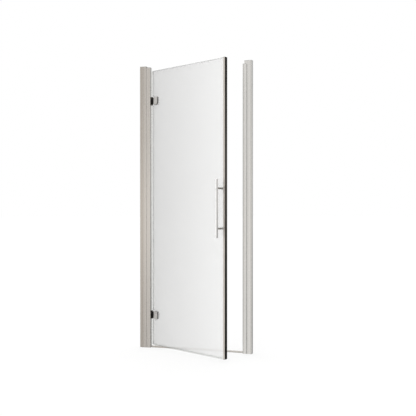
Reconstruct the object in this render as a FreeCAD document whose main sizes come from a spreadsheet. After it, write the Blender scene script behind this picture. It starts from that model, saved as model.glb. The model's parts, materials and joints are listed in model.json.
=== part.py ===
# Hinged shower door: a glass leaf on two clamp hinges, between two wall channels.
# The origin is on the floor, midway between the two walls, in the plane of the closed glass.
# X runs along the doorway, Y points into the shower and Z is up. Lengths are in millimetres.
import FreeCAD
import Part
import Sketcher
import math
import os
from types import SimpleNamespace

# Driving dimensions, one named value each
SIZES = {
    # The doorway and the two wall channels
    "opening_width": 749.0,
    "overall_height": 1850.0,
    "open_angle": 24.2,
    "profile_depth": 35.0,
    "profile_wall": 2.0,
    "profile_corner": 1.6,
    "profile_edge": 0.6,
    "hinge_channel_width": 45.0,
    "strike_channel_width": 50.0,
    "wall_hole_radius": 2.75,
    "wall_hole_inset": 150.0,
    "cap_thickness": 2.0,
    "cap_plug_depth": 8.0,
    "cap_plug_gap": 0.2,
    # Hinge post
    "slide_gap": 0.2,
    "post_reach": 71.7,
    "post_overlap": 25.0,
    "post_wall": 2.0,
    "post_face_wall": 2.5,
    "post_drop": 7.0,
    "post_corner": 1.2,
    # Strike post
    "strike_reach": 60.5,
    "strike_overlap": 28.0,
    "strike_wall": 2.0,
    "strike_face_wall": 2.0,
    "strike_drop": 20.5,
    "strike_corner": 2.5,
    "strike_mouth_gap": 0.5,
    "lip_lap": 15.0,
    "lip_thickness": 1.8,
    "lip_gap": 0.2,
    "shadow_gap": 3.2,
    # Magnet seal of the strike
    "magnet_throat": 9.0,
    "magnet_head_width": 14.0,
    "magnet_head_depth": 4.0,
    "magnet_cover_width": 16.0,
    "magnet_proud": 1.0,
    "magnet_strip_width": 8.0,
    "magnet_strip_thickness": 2.4,
    "seal_fit_gap": 0.2,
    "magnet_fit_gap": 0.05,
    # Threshold
    "threshold_setback": 3.0,
    "threshold_height": 10.5,
    "threshold_depth": 12.5,
    "threshold_crest": 3.5,
    "threshold_heel": 5.0,
    "threshold_round": 1.5,
    "threshold_foot": 7.0,
    "threshold_foot_thickness": 1.2,
    "threshold_pad": 1.5,
    "threshold_pad_gap": 0.2,
    "bead_groove_width": 2.0,
    "bead_groove_depth": 0.8,
    "bead_groove_offset": 3.0,
    # Locking screws
    "lock_inset": 160.0,
    "lock_shank_radius": 1.75,
    "lock_hole_radius": 2.1,
    "lock_pilot_gap": 0.03,
    "lock_head_radius": 3.6,
    "lock_head_height": 2.2,
    "lock_length": 9.0,
    "lock_cover_radius": 5.5,
    "lock_cover_height": 3.6,
    "lock_cover_wall": 0.9,
    "lock_cover_round": 1.2,
    # Hinges
    "hinge_inset": 197.0,
    "pin_radius": 3.0,
    "running_gap": 0.05,
    "bush_wall": 0.95,
    "bush_flange_radius": 5.4,
    "bush_flange_thickness": 1.0,
    "bush_length": 9.0,
    "thrust_gap": 0.2,
    "knuckle_wall": 1.9,
    "knuckle_gap": 0.5,
    "knuckle_height": 40.0,
    "knuckle_block_length": 18.5,
    "knuckle_round": 1.2,
    "tongue_length": 15.0,
    "tongue_height": 21.0,
    "notch_gap": 1.0,
    "notch_round": 2.5,
    "bracket_plate": 2.2,
    "bracket_margin": 2.8,
    "bracket_round": 2.5,
    "ear_thickness": 5.0,
    "pin_head_radius": 4.4,
    "pin_head_height": 1.4,
    "bracket_screw_radius": 2.0,
    "bracket_screw_head_radius": 3.6,
    "bracket_screw_length": 11.0,
    "bracket_screw_spread": 26.0,
    "bracket_screw_edge": 4.2,
    "screw_clear_gap": 0.2,
    "thread_gap": 0.03,
    "backing_thickness": 4.0,
    "backing_inset": 1.2,
    # Clamp plates
    "plate_height": 50.0,
    "plate_width": 32.0,
    "plate_gap": 0.5,
    "plate_side_thickness": 5.6,
    "plate_crown_radius": 210.0,
    "plate_outer_corner": 6.0,
    "plate_inner_corner": 1.5,
    "plate_round": 1.4,
    "gasket_thickness": 1.0,
    "gasket_inset": 1.0,
    "clamp_screw_radius": 2.5,
    "clamp_screw_head_radius": 4.6,
    "clamp_screw_spread": 11.0,
    "clamp_screw_bite": 4.0,
    # Glass leaf
    "leaf_bottom": 19.5,
    "leaf_height": 1800.0,
    "glass_inset": 4.5,
    "glass_thickness": 6.0,
    "glass_arris": 0.6,
    # Closing profile on the free edge
    "closing_width": 12.5,
    "closing_depth": 22.0,
    "closing_wall": 1.6,
    "closing_slot_wall": 1.6,
    "closing_web": 1.0,
    "closing_gap": 1.2,
    "closing_round": 0.8,
    "closing_cap": 1.5,
    "glass_bite": 7.0,
    "glass_end_gap": 0.5,
    "glazing_thickness": 0.8,
    "glazing_inset": 0.6,
    "door_magnet_head": 1.8,
    "door_magnet_margin": 0.3,
    "door_magnet_stem": 8.6,
    "door_magnet_strip_width": 6.4,
    "door_magnet_strip_thickness": 2.2,
    # Edge seals
    "seal_gap": 0.8,
    "seal_web": 0.8,
    "seal_leg": 8.0,
    "seal_leg_thickness": 1.0,
    "seal_glass_gap": 0.05,
    "seal_bulb_wall": 0.9,
    "seal_end_gap": 1.2,
    "drip_web": 1.0,
    "drip_leg": 9.0,
    "drip_fin_drop": 7.3,
    "drip_fin_lean": 3.0,
    "drip_fin_thickness": 0.9,
    # Handle
    "handle_length": 350.0,
    "handle_pitch": 240.0,
    "handle_radius": 8.0,
    "handle_end_round": 1.5,
    "handle_standoff": 51.0,
    "handle_inset": 29.0,
    "standoff_radius": 6.0,
    "handle_hole_radius": 5.0,
    "handle_collar_gap": 0.2,
    "handle_collar_share": 0.4,
    "handle_washer_radius": 7.5,
    "handle_washer_thickness": 1.0,
    "handle_stud_radius": 3.0,
    "handle_stud_bite": 12.0,
    "handle_nut_radius": 7.5,
    "handle_nut_height": 8.0,
    "handle_nut_round": 5.0,
    "handle_nut_bite": 5.5,
    # One overrun for every cut that goes right through
    "overrun": 1.0,
}
# Shares that hold a rounding within the wall that it is cut in
corner_limit_share = 2.0
edge_limit_share = 0.4
head_round_share = 0.5
pillow_round_share = 0.4
pillow_reach_share = 0.6
notch_limit_share = 0.25

HALF_TURN = 180.0
FULL_TURN = 360.0
WALL_HOLES = 4
LOCK_SCREWS = 3
MATCH = 1e-4


class Size:
    """A number with the sheet formula that it stands for."""

    def __init__(self, value, text):
        self.value = value
        self.text = text

    @staticmethod
    def of(other):
        """Take a plain number as a size, so that both mix in sums."""
        if isinstance(other, Size):
            return other
        return Size(float(other), f"({float(other)!r})")

    def join(self, other, sign, value):
        """Write the formula of one sum or product."""
        return Size(value, f"({self.text} {sign} {other.text})")

    def __add__(self, other):
        other = Size.of(other)
        return self.join(other, "+", self.value + other.value)

    def __sub__(self, other):
        other = Size.of(other)
        return self.join(other, "-", self.value - other.value)

    def __mul__(self, other):
        other = Size.of(other)
        return self.join(other, "*", self.value * other.value)

    def __truediv__(self, other):
        other = Size.of(other)
        return self.join(other, "/", self.value / other.value)

    def __radd__(self, other):
        return Size.of(other) + self

    def __rsub__(self, other):
        return Size.of(other) - self

    def __rmul__(self, other):
        return Size.of(other) * self

    def __neg__(self):
        return Size.of(-1) * self


def smaller(first, second):
    """The smaller of two sizes, which keeps a rounding within its wall."""
    value = min(first.value, second.value)
    return Size(value, f"min({first.text}; {second.text})")


# The document and its sheet of sizes
doc = FreeCAD.newDocument("ShowerDoor")
sheet = doc.addObject("Spreadsheet::Sheet", "Sizes")
for row, (alias, number) in enumerate(SIZES.items(), start=1):
    sheet.set(f"A{row}", alias)
    sheet.set(f"B{row}", str(number))
    sheet.setAlias(f"B{row}", alias)
doc.recompute()

s = SimpleNamespace(**{alias: Size(number, f"Sizes.{alias}") for alias, number in SIZES.items()})
ZERO = Size(0.0, "0")
pieces = []

# Places that several pieces share, worked out from the sizes above
half_opening = s.opening_width / 2
half_depth = s.profile_depth / 2
post_half = half_depth - s.profile_wall - s.slide_gap
post_start = s.hinge_channel_width - s.post_overlap
post_face = s.post_reach - half_opening
strike_start = s.strike_channel_width - s.strike_overlap
strike_face = half_opening - s.strike_reach
lip_back = half_depth + s.lip_gap
lip_front = lip_back + s.lip_thickness
lip_end = s.strike_channel_width - s.lip_lap
cover_end = lip_end - s.shadow_gap
channel_top = s.overall_height - s.cap_thickness
post_top = s.overall_height - s.post_drop - s.cap_thickness
strike_top = s.overall_height - s.strike_drop - s.cap_thickness

bush_radius = s.pin_radius + s.running_gap + s.bush_wall
knuckle_radius = bush_radius + s.knuckle_wall
knuckle_half = s.knuckle_height / 2
ear_start = knuckle_half + s.bush_flange_thickness + s.thrust_gap
bracket_half = ear_start + s.ear_thickness
axis_gap = s.bracket_plate + s.knuckle_gap + knuckle_radius
axis_x = post_face + axis_gap
bracket_face = s.bracket_plate - axis_gap
bracket_side = post_half - s.bracket_margin
bracket_screw_y = bracket_side - s.bracket_screw_edge
bracket_screw_z = s.bracket_screw_spread / 2

glass_start = s.glass_inset
bulb_reach = axis_gap - s.seal_gap
bulb_radius = (bulb_reach + glass_start - s.seal_web) / 2
bulb_x = bulb_radius - bulb_reach
glass_half = s.glass_thickness / 2
leaf_end = strike_face - s.magnet_proud - s.closing_gap - axis_x
closing_end = leaf_end - s.door_magnet_head
closing_start = closing_end - s.closing_width
closing_half = s.closing_depth / 2
glass_end = closing_start + s.glass_bite
leaf_top = s.leaf_bottom + s.leaf_height
glass_bottom = s.leaf_bottom + s.drip_web
upper_hinge_z = leaf_top - s.hinge_inset
lower_hinge_z = s.leaf_bottom + s.hinge_inset

clamp_half = glass_half + s.gasket_thickness
tongue_half = s.tongue_height / 2
tongue_end = s.knuckle_block_length + s.tongue_length
notch_half = bracket_half + s.pin_head_height + s.notch_gap
notch_end = s.knuckle_block_length + s.notch_gap
slot_half = tongue_half + s.notch_gap
slot_end = tongue_end + s.notch_gap
plate_start = s.knuckle_block_length + s.plate_gap
plate_end = plate_start + s.plate_width
plate_half = s.plate_height / 2
clamp_screw_x = s.knuckle_block_length + s.tongue_length / 2
clamp_screw_z = s.clamp_screw_spread / 2

handle_x = leaf_end - s.handle_inset
handle_y = -(glass_half + s.handle_standoff)
handle_z = s.leaf_bottom + s.leaf_height / 2
handle_low_z = handle_z - s.handle_pitch / 2


def new_body(label):
    """Start a sub-part whose label names its file."""
    body = doc.addObject("PartDesign::Body", label)
    body.Label = label
    pieces.append(body)
    return body


def origin_feature(body, role):
    """Find one of a body's own planes or axes."""
    return next(item for item in body.Origin.OriginFeatures if item.Role == role)


def add_loop(sketch, corners):
    """Draw a closed loop of corners, counter-clockwise, and bind each corner to the sheet.

    A corner is (x, y), or (x, y, radius) where a crowned edge runs from it to the next corner.
    """
    first = sketch.GeometryCount
    count = len(corners)
    for index, corner in enumerate(corners):
        after = corners[(index + 1) % count]
        start = FreeCAD.Vector(corner[0].value, corner[1].value, 0)
        end = FreeCAD.Vector(after[0].value, after[1].value, 0)
        if len(corner) == 3:
            sketch.addGeometry(crown_arc(start, end, corner[2].value), False)
        else:
            sketch.addGeometry(Part.LineSegment(start, end), False)
    for index, corner in enumerate(corners):
        edge = first + index
        after = first + (index + 1) % count
        sketch.addConstraint(Sketcher.Constraint("Coincident", edge, 2, after, 1))
        bind_point(sketch, edge, 1, corner[0], corner[1])
        if len(corner) == 3:
            bind(sketch, Sketcher.Constraint("Radius", edge, corner[2].value), corner[2])


def crown_arc(start, end, radius):
    """An arc that bulges to the right of the way from start to end."""
    chord = end - start
    middle = (start + end) / 2
    left = FreeCAD.Vector(-chord.y, chord.x, 0).normalize()
    centre = middle + left * math.sqrt(radius ** 2 - (chord.Length / 2) ** 2)
    circle = Part.Circle(centre, FreeCAD.Vector(0, 0, 1), radius)
    first = math.atan2(start.y - centre.y, start.x - centre.x)
    last = math.atan2(end.y - centre.y, end.x - centre.x)
    return Part.ArcOfCircle(circle, first, last)


def add_circle(sketch, x, y, radius):
    """Draw a circle and bind its centre and radius to the sheet."""
    centre = FreeCAD.Vector(x.value, y.value, 0)
    edge = sketch.addGeometry(Part.Circle(centre, FreeCAD.Vector(0, 0, 1), radius.value), False)
    bind_point(sketch, edge, 3, x, y)
    bind(sketch, Sketcher.Constraint("Radius", edge, radius.value), radius)


def bind_point(sketch, edge, position, x, y):
    """Hold a point of an edge at its place from the sketch's origin."""
    for kind, place in (("DistanceX", x), ("DistanceY", y)):
        bind(sketch, Sketcher.Constraint(kind, -1, 1, edge, position, place.value), place)


def bind(sketch, constraint, size):
    """Add a constraint and tie its value to the sheet."""
    index = sketch.addConstraint(constraint)
    sketch.setExpression(f"Constraints[{index}]", size.text)


def new_sketch(body, name, role, loops=(), circles=(), shift=(ZERO, ZERO, ZERO)):
    """Make a sketch on one of the body's planes, shifted along the plane and off it."""
    sketch = body.newObject("Sketcher::SketchObject", name)
    sketch.AttachmentSupport = [(origin_feature(body, role), "")]
    sketch.MapMode = "FlatFace"
    for axis, move in zip("xyz", shift):
        if move is not ZERO:
            sketch.setExpression(f".AttachmentOffset.Base.{axis}", move.text)
    for corners in loops:
        add_loop(sketch, corners)
    for x, y, radius in circles:
        add_circle(sketch, x, y, radius)
    return sketch


def extrude(body, name, sketch, length, kind="PartDesign::Pad", midplane=False, reverse=False):
    """Pad a sketch, or cut it as a pocket."""
    feature = body.newObject(kind, name)
    feature.Profile = sketch
    feature.setExpression("Length", length.text)
    feature.Midplane = midplane
    feature.Reversed = reverse
    doc.recompute()
    return feature


def cut_through(body, name, sketch, reach):
    """Cut a sketch both ways from its plane, a little further than the wall that it crosses."""
    before = body.Shape.Volume
    feature = extrude(body, name, sketch, (reach + s.overrun) * 2, "PartDesign::Pocket", midplane=True)
    if feature.Shape.Volume >= before:
        raise RuntimeError(f"{body.Label}: {name} cuts nothing")
    return feature


def turn(body, name, corners, axis, shift, kind="PartDesign::Revolution"):
    """Turn a half outline about an axis of its sketch, as a solid or as a groove."""
    sketch = new_sketch(body, f"{name}Outline", "XY_Plane", [corners], shift=shift)
    feature = body.newObject(kind, name)
    feature.Profile = sketch
    feature.ReferenceAxis = (sketch, [axis])
    feature.Angle = FULL_TURN
    doc.recompute()
    return feature


def repeat(body, feature, name, role, length, count=2):
    """Repeat a feature in a row, as separate solids where they don't touch."""
    pattern = body.newObject("PartDesign::LinearPattern", name)
    pattern.Originals = [feature]
    pattern.Direction = (origin_feature(body, role), [""])
    pattern.setExpression("Length", length.text)
    pattern.Occurrences = count
    body.Tip = pattern
    doc.recompute()
    return pattern


def dress_edges(body, name, chosen, kind, size_name, size):
    """Round or bevel the edges of the body's last feature that pass a test."""
    base = body.Tip
    names = [f"Edge{number}" for number, edge in enumerate(base.Shape.Edges, start=1) if chosen(edge)]
    if not names:
        raise RuntimeError(f"{body.Label}: {name} finds no edge")
    feature = body.newObject(kind, name)
    feature.Base = (base, names)
    feature.setExpression(size_name, size.text)
    doc.recompute()


def round_edges(body, name, radius, chosen):
    """Round the edges that pass a test."""
    dress_edges(body, name, chosen, "PartDesign::Fillet", "Radius", radius)


def bevel_edges(body, name, size, chosen):
    """Bevel the edges that pass a test."""
    dress_edges(body, name, chosen, "PartDesign::Chamfer", "Size", size)


def runs_along(edge, axis):
    """True for a straight edge along an axis: x, y or z."""
    if not isinstance(edge.Curve, Part.Line):
        return False
    return abs(abs(getattr(edge.Curve.Direction, axis)) - 1) < MATCH


def lies_at(edge, **places):
    """True where every point of an edge is at the given x, y or z."""
    box = edge.BoundBox
    for axis, place in places.items():
        low = getattr(box, f"{axis.upper()}Min")
        high = getattr(box, f"{axis.upper()}Max")
        if abs(low - place.value) > MATCH or abs(high - place.value) > MATCH:
            return False
    return True


def rectangle(x0, x1, y0, y1):
    """The four corners of a rectangle."""
    return [(x0, y0), (x1, y0), (x1, y1), (x0, y1)]


def spaced(low, high, count):
    """Evenly spaced places from low to high."""
    return [low + (high - low) * (step / (count - 1)) for step in range(count)]


def place_frame(body, x=ZERO, z=ZERO, mirrored=False):
    """Set a piece of the frame in its place; the strike side faces the other way."""
    if mirrored:
        about_face = FreeCAD.Rotation(FreeCAD.Vector(0, 0, 1), HALF_TURN)
        body.Placement = FreeCAD.Placement(FreeCAD.Vector(), about_face)
    body.setExpression("Placement.Base.x", x.text)
    body.setExpression("Placement.Base.z", z.text)


def hang(body, z=ZERO):
    """Hang a piece of the leaf on the hinge axis, as far open as the leaf stands."""
    body.setExpression("Placement.Base.x", axis_x.text)
    body.setExpression("Placement.Base.z", z.text)
    body.setExpression("Placement.Rotation.Angle", (-s.open_angle).text)


# Wall channels and their top covers, drawn outwards from the wall face

channel_inner = half_depth - s.profile_wall
plain_inside = [(s.profile_wall, channel_inner)]
plain_outside = [(ZERO, half_depth)]
cover_inner = lip_front - s.profile_wall
raised_inside = [(s.profile_wall, cover_inner), (cover_end - s.profile_wall, cover_inner),
                 (cover_end - s.profile_wall, channel_inner)]
raised_outside = [(cover_end, half_depth), (cover_end, lip_front), (ZERO, lip_front)]


def wall_profile(label, width, lock_x, back_y, inside, outside, place):
    """A channel screwed to the wall, open towards the doorway, with locking holes in its back flange.

    The inside and outside corners of one flange are given, because the strike side's is raised
    beside the post's lip, flush with it, so that a narrow shadow gap shows between the two.
    """
    body = new_body(label)
    section = [(ZERO, -half_depth), (width, -half_depth), (width, -channel_inner),
               (s.profile_wall, -channel_inner)]
    section += inside + [(width, channel_inner), (width, half_depth)] + outside
    extrude(body, "Run", new_sketch(body, "Section", "XY_Plane", [section]), channel_top)
    wall_holes = [(ZERO, z, s.wall_hole_radius)
                  for z in spaced(s.wall_hole_inset, s.overall_height - s.wall_hole_inset, WALL_HOLES)]
    cut_through(body, "WallHoles", new_sketch(body, "WallHolePlaces", "YZ_Plane", circles=wall_holes),
                s.profile_wall)
    lock_holes = [(lock_x, z, s.lock_hole_radius) for z in lock_heights]
    cut_through(body, "LockHoles", new_sketch(body, "LockHolePlaces", "XZ_Plane", circles=lock_holes,
                                              shift=(ZERO, ZERO, -back_y)), s.profile_wall)
    round_edges(body, "WallCorners", smaller(s.profile_corner, s.profile_wall * corner_limit_share),
                lambda edge: runs_along(edge, "z") and lies_at(edge, x=ZERO))
    round_edges(body, "MouthEdges", smaller(s.profile_edge, s.profile_wall * edge_limit_share),
                lambda edge: runs_along(edge, "z") and (lies_at(edge, x=cover_end, y=lip_front)
                or lies_at(edge, x=width, y=half_depth) or lies_at(edge, x=width, y=-half_depth)))
    place(body)


def wall_cap(label, width, plug_end, outside, place):
    """Top cover of a channel, with a plug that sits between the wall and the post."""
    body = new_body(label)
    cover = [(ZERO, -half_depth), (width, -half_depth), (width, half_depth)] + outside
    extrude(body, "Cover", new_sketch(body, "CoverOutline", "XY_Plane", [cover]), s.cap_thickness)
    round_edges(body, "WallCorners", smaller(s.profile_corner, s.profile_wall * corner_limit_share),
                lambda edge: runs_along(edge, "z") and lies_at(edge, x=ZERO))
    side = channel_inner - s.cap_plug_gap
    plug = rectangle(s.profile_wall + s.cap_plug_gap, plug_end - s.cap_plug_gap, -side, side)
    extrude(body, "Plug", new_sketch(body, "PlugOutline", "XY_Plane", [plug]), s.cap_plug_depth, reverse=True)
    place(body)


lock_heights = spaced(s.lock_inset, s.overall_height - s.lock_inset, LOCK_SCREWS)
hinge_lock_x = s.hinge_channel_width - s.post_overlap / 2
strike_lock_x = s.strike_channel_width - s.strike_overlap / 2


def on_hinge_side(z=ZERO):
    """A way to place a piece outwards from the left wall."""
    return lambda body: place_frame(body, -half_opening, z)


def on_strike_side(z=ZERO):
    """A way to place a piece outwards from the right wall, facing left."""
    return lambda body: place_frame(body, half_opening, z, mirrored=True)


wall_profile("hinge_side_wall_profile", s.hinge_channel_width, hinge_lock_x, half_depth,
             plain_inside, plain_outside, on_hinge_side())
wall_profile("strike_side_wall_profile", s.strike_channel_width, strike_lock_x, -half_depth,
             raised_inside, raised_outside, on_strike_side())
wall_cap("hinge_side_wall_cap", s.hinge_channel_width, post_start, plain_outside,
         on_hinge_side(channel_top))
wall_cap("strike_side_wall_cap", s.strike_channel_width, strike_start, raised_outside,
         on_strike_side(channel_top))


# Hinge post and strike post, which slide into the channels

def hinge_post():
    """A tube in the left channel that carries the hinge brackets."""
    body = new_body("hinge_post")
    outer = rectangle(post_start, s.post_reach, -post_half, post_half)
    hollow = rectangle(post_start + s.post_wall, s.post_reach - s.post_face_wall,
                       s.post_wall - post_half, post_half - s.post_wall)
    extrude(body, "Run", new_sketch(body, "Section", "XY_Plane", [outer, hollow]), post_top)
    screw_radius = s.bracket_screw_radius + s.screw_clear_gap
    places = [(side * bracket_screw_y, hinge + up * bracket_screw_z, screw_radius)
              for hinge in (lower_hinge_z, upper_hinge_z) for side in (-1, 1) for up in (-1, 1)]
    cut_through(body, "BracketHoles", new_sketch(body, "BracketHolePlaces", "YZ_Plane", circles=places,
                                                 shift=(ZERO, ZERO, s.post_reach)), s.post_face_wall)
    pilots = [(hinge_lock_x, z, s.lock_shank_radius + s.lock_pilot_gap) for z in lock_heights]
    cut_through(body, "LockPilots", new_sketch(body, "LockPilotPlaces", "XZ_Plane", circles=pilots,
                                               shift=(ZERO, ZERO, -post_half)), s.post_wall)
    corner = smaller(s.post_corner, s.post_wall * edge_limit_share)
    round_edges(body, "FaceCorners", corner,
                lambda edge: runs_along(edge, "z") and lies_at(edge, x=s.post_reach))
    place_frame(body, -half_opening)

    cap = new_body("hinge_post_cap")
    extrude(cap, "Cover", new_sketch(cap, "CoverOutline", "XY_Plane", [outer]), s.cap_thickness)
    round_edges(cap, "FaceCorners", corner,
                lambda edge: runs_along(edge, "z") and lies_at(edge, x=s.post_reach))
    plug = rectangle(post_start + s.post_wall + s.cap_plug_gap,
                     s.post_reach - s.post_face_wall - s.cap_plug_gap,
                     s.post_wall + s.cap_plug_gap - post_half, post_half - s.post_wall - s.cap_plug_gap)
    extrude(cap, "Plug", new_sketch(cap, "PlugOutline", "XY_Plane", [plug]), s.cap_plug_depth, reverse=True)
    place_frame(cap, -half_opening, post_top)


def strike_post():
    """A tube in the right channel with a lip over the channel's front and a slot for the magnet seal."""
    body = new_body("strike_post")
    neck = s.strike_channel_width + s.strike_mouth_gap
    throat_half = s.magnet_throat / 2
    head_half = s.magnet_head_width / 2
    throat_x = s.strike_reach - s.strike_face_wall
    head_x = throat_x - s.magnet_head_depth
    foot = [(strike_start, -post_half), (s.strike_reach, -post_half)]
    slot = [(s.strike_reach, -throat_half), (throat_x, -throat_half), (throat_x, -head_half),
            (head_x, -head_half), (head_x, head_half), (throat_x, head_half),
            (throat_x, throat_half), (s.strike_reach, throat_half)]
    lip = [(s.strike_reach, lip_front), (lip_end, lip_front), (lip_end, lip_back), (neck, lip_back),
           (neck, post_half), (strike_start, post_half)]
    hollow = rectangle(strike_start + s.strike_wall, head_x - s.strike_wall,
                       s.strike_wall - post_half, post_half - s.strike_wall)
    extrude(body, "Run", new_sketch(body, "Section", "XY_Plane", [foot + slot + lip, hollow]), strike_top)
    pilots = [(strike_lock_x, z, s.lock_shank_radius + s.lock_pilot_gap) for z in lock_heights]
    cut_through(body, "LockPilots", new_sketch(body, "LockPilotPlaces", "XZ_Plane", circles=pilots,
                                               shift=(ZERO, ZERO, post_half)), s.strike_wall)
    round_edges(body, "LipEdge", smaller(s.profile_edge, s.lip_thickness * edge_limit_share),
                lambda edge: runs_along(edge, "z") and lies_at(edge, x=lip_end, y=lip_front))
    corner = smaller(s.strike_corner, s.strike_face_wall * corner_limit_share)
    round_edges(body, "FaceCorners", corner, on_strike_corner)
    place_frame(body, half_opening, mirrored=True)

    cap = new_body("strike_post_cap")
    extrude(cap, "Cover", new_sketch(cap, "CoverOutline", "XY_Plane", [foot + lip]), s.cap_thickness)
    round_edges(cap, "FaceCorners", corner, on_strike_corner)
    plug = rectangle(strike_start + s.strike_wall + s.cap_plug_gap, head_x - s.strike_wall - s.cap_plug_gap,
                     s.strike_wall + s.cap_plug_gap - post_half, post_half - s.strike_wall - s.cap_plug_gap)
    extrude(cap, "Plug", new_sketch(cap, "PlugOutline", "XY_Plane", [plug]), s.cap_plug_depth, reverse=True)
    place_frame(cap, half_opening, strike_top, mirrored=True)

    magnet_seal(throat_x, head_x, throat_half, head_half)


def on_strike_corner(edge):
    """True for the two upright corners of the strike post that face the doorway."""
    return runs_along(edge, "z") and (lies_at(edge, x=s.strike_reach, y=lip_front)
                                      or lies_at(edge, x=s.strike_reach, y=-post_half))


def magnet_seal(throat_x, head_x, throat_half, head_half):
    """The seal that clips into the strike's slot, with its magnet strip inside."""
    seal_start = s.threshold_height + s.threshold_pad_gap
    seal_length = strike_top - seal_start
    gap = s.seal_fit_gap
    cover = s.strike_reach + s.magnet_proud
    cover_half = s.magnet_cover_width / 2
    strip_half = s.magnet_strip_width / 2
    strip_middle = (throat_x + head_x) / 2
    strip_start = strip_middle - s.magnet_strip_thickness / 2
    strip_end = strip_middle + s.magnet_strip_thickness / 2
    outline = [(head_x + gap, gap - head_half), (throat_x - gap, gap - head_half),
               (throat_x - gap, gap - throat_half), (s.strike_reach, gap - throat_half),
               (s.strike_reach, -cover_half), (cover, -cover_half), (cover, cover_half),
               (s.strike_reach, cover_half), (s.strike_reach, throat_half - gap),
               (throat_x - gap, throat_half - gap), (throat_x - gap, head_half - gap),
               (head_x + gap, head_half - gap)]
    pocket = rectangle(strip_start, strip_end, -strip_half, strip_half)
    seal = new_body("strike_magnet_seal")
    extrude(seal, "Run", new_sketch(seal, "Section", "XY_Plane", [outline, pocket]), seal_length)
    place_frame(seal, half_opening, seal_start, mirrored=True)
    fit = s.magnet_fit_gap
    core = rectangle(strip_start + fit, strip_end - fit, fit - strip_half, strip_half - fit)
    strip = new_body("strike_magnet_strip")
    extrude(strip, "Run", new_sketch(strip, "Section", "XY_Plane", [core]), seal_length)
    place_frame(strip, half_opening, seal_start, mirrored=True)


hinge_post()
strike_post()


# Threshold on the tray, between the two posts

def threshold():
    """A low bar with a thin foot, a steep front and a top that drains into the shower, and its end pads."""
    front = s.threshold_setback
    back = front + s.threshold_depth
    middle = front + s.threshold_depth / 2
    toe = front - s.threshold_foot
    section = [(toe, ZERO), (back, ZERO), (back, s.threshold_heel),
               (front + s.threshold_crest, s.threshold_height), (front, s.threshold_height),
               (front, s.threshold_foot_thickness), (toe, s.threshold_foot_thickness)]
    bar_start = post_face + s.threshold_pad
    bar_end = strike_face - s.threshold_pad
    bar = new_body("threshold_bar")
    extrude(bar, "Run", new_sketch(bar, "Section", "YZ_Plane", [section]), bar_end - bar_start)
    grooves = [rectangle(middle + side * s.bead_groove_offset - s.bead_groove_width / 2,
                         middle + side * s.bead_groove_offset + s.bead_groove_width / 2,
                         -s.overrun, s.bead_groove_depth) for side in (-1, 1)]
    extrude(bar, "BeadGrooves", new_sketch(bar, "GrooveOutline", "YZ_Plane", grooves), bar_end - bar_start,
            "PartDesign::Pocket", reverse=True)
    round_edges(bar, "Nose", smaller(s.threshold_round, s.threshold_crest * edge_limit_share),
                lambda edge: runs_along(edge, "x") and lies_at(edge, z=s.threshold_height))
    bar.setExpression("Placement.Base.x", bar_start.text)

    pads = new_body("threshold_end_pads")
    pad_thickness = s.threshold_pad - s.threshold_pad_gap
    pad = extrude(pads, "Pad", new_sketch(pads, "Section", "YZ_Plane", [section]), pad_thickness)
    repeat(pads, pad, "BothEnds", "X_Axis", strike_face - post_face - pad_thickness)
    pads.setExpression("Placement.Base.x", post_face.text)


threshold()


# Screws that lock each post in its channel, with covers over their heads

def locking_screws(side, lock_x, place):
    """Pan-head screws through the channel's back flange into the post, and their domed covers."""
    screws = new_body(f"{side}_locking_screws")
    shank = s.lock_shank_radius
    head = s.lock_head_radius
    outline = [(ZERO, -s.lock_length), (shank, -s.lock_length), (shank, ZERO), (head, ZERO),
               (head, s.lock_head_height / 2), (shank, s.lock_head_height), (ZERO, s.lock_head_height)]
    start = (lock_x, half_depth, lock_heights[0])
    span = lock_heights[-1] - lock_heights[0]
    first = turn(screws, "Screw", outline, "V_Axis", start)
    repeat(screws, first, "Row", "Z_Axis", span, LOCK_SCREWS)
    place(screws)

    covers = new_body(f"{side}_screw_covers")
    radius = s.lock_cover_radius
    inside = radius - s.lock_cover_wall
    height = s.lock_cover_height
    dome = [(ZERO, height - s.lock_cover_wall), (inside, height - s.lock_cover_wall), (inside, ZERO),
            (radius, ZERO), (radius, height - s.lock_cover_round),
            (radius - s.lock_cover_round, height), (ZERO, height)]
    first = turn(covers, "Cover", dome, "V_Axis", start)
    repeat(covers, first, "Row", "Z_Axis", span, LOCK_SCREWS)
    place(covers)


def screws_on_strike_side(body):
    """The strike side's screws are set from the back, so they only move across."""
    place_frame(body, half_opening)


locking_screws("hinge_side", hinge_lock_x, on_hinge_side())
locking_screws("strike_side", -strike_lock_x, screws_on_strike_side)


# Hinges: the fixed half on the post, drawn about the hinge axis

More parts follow.
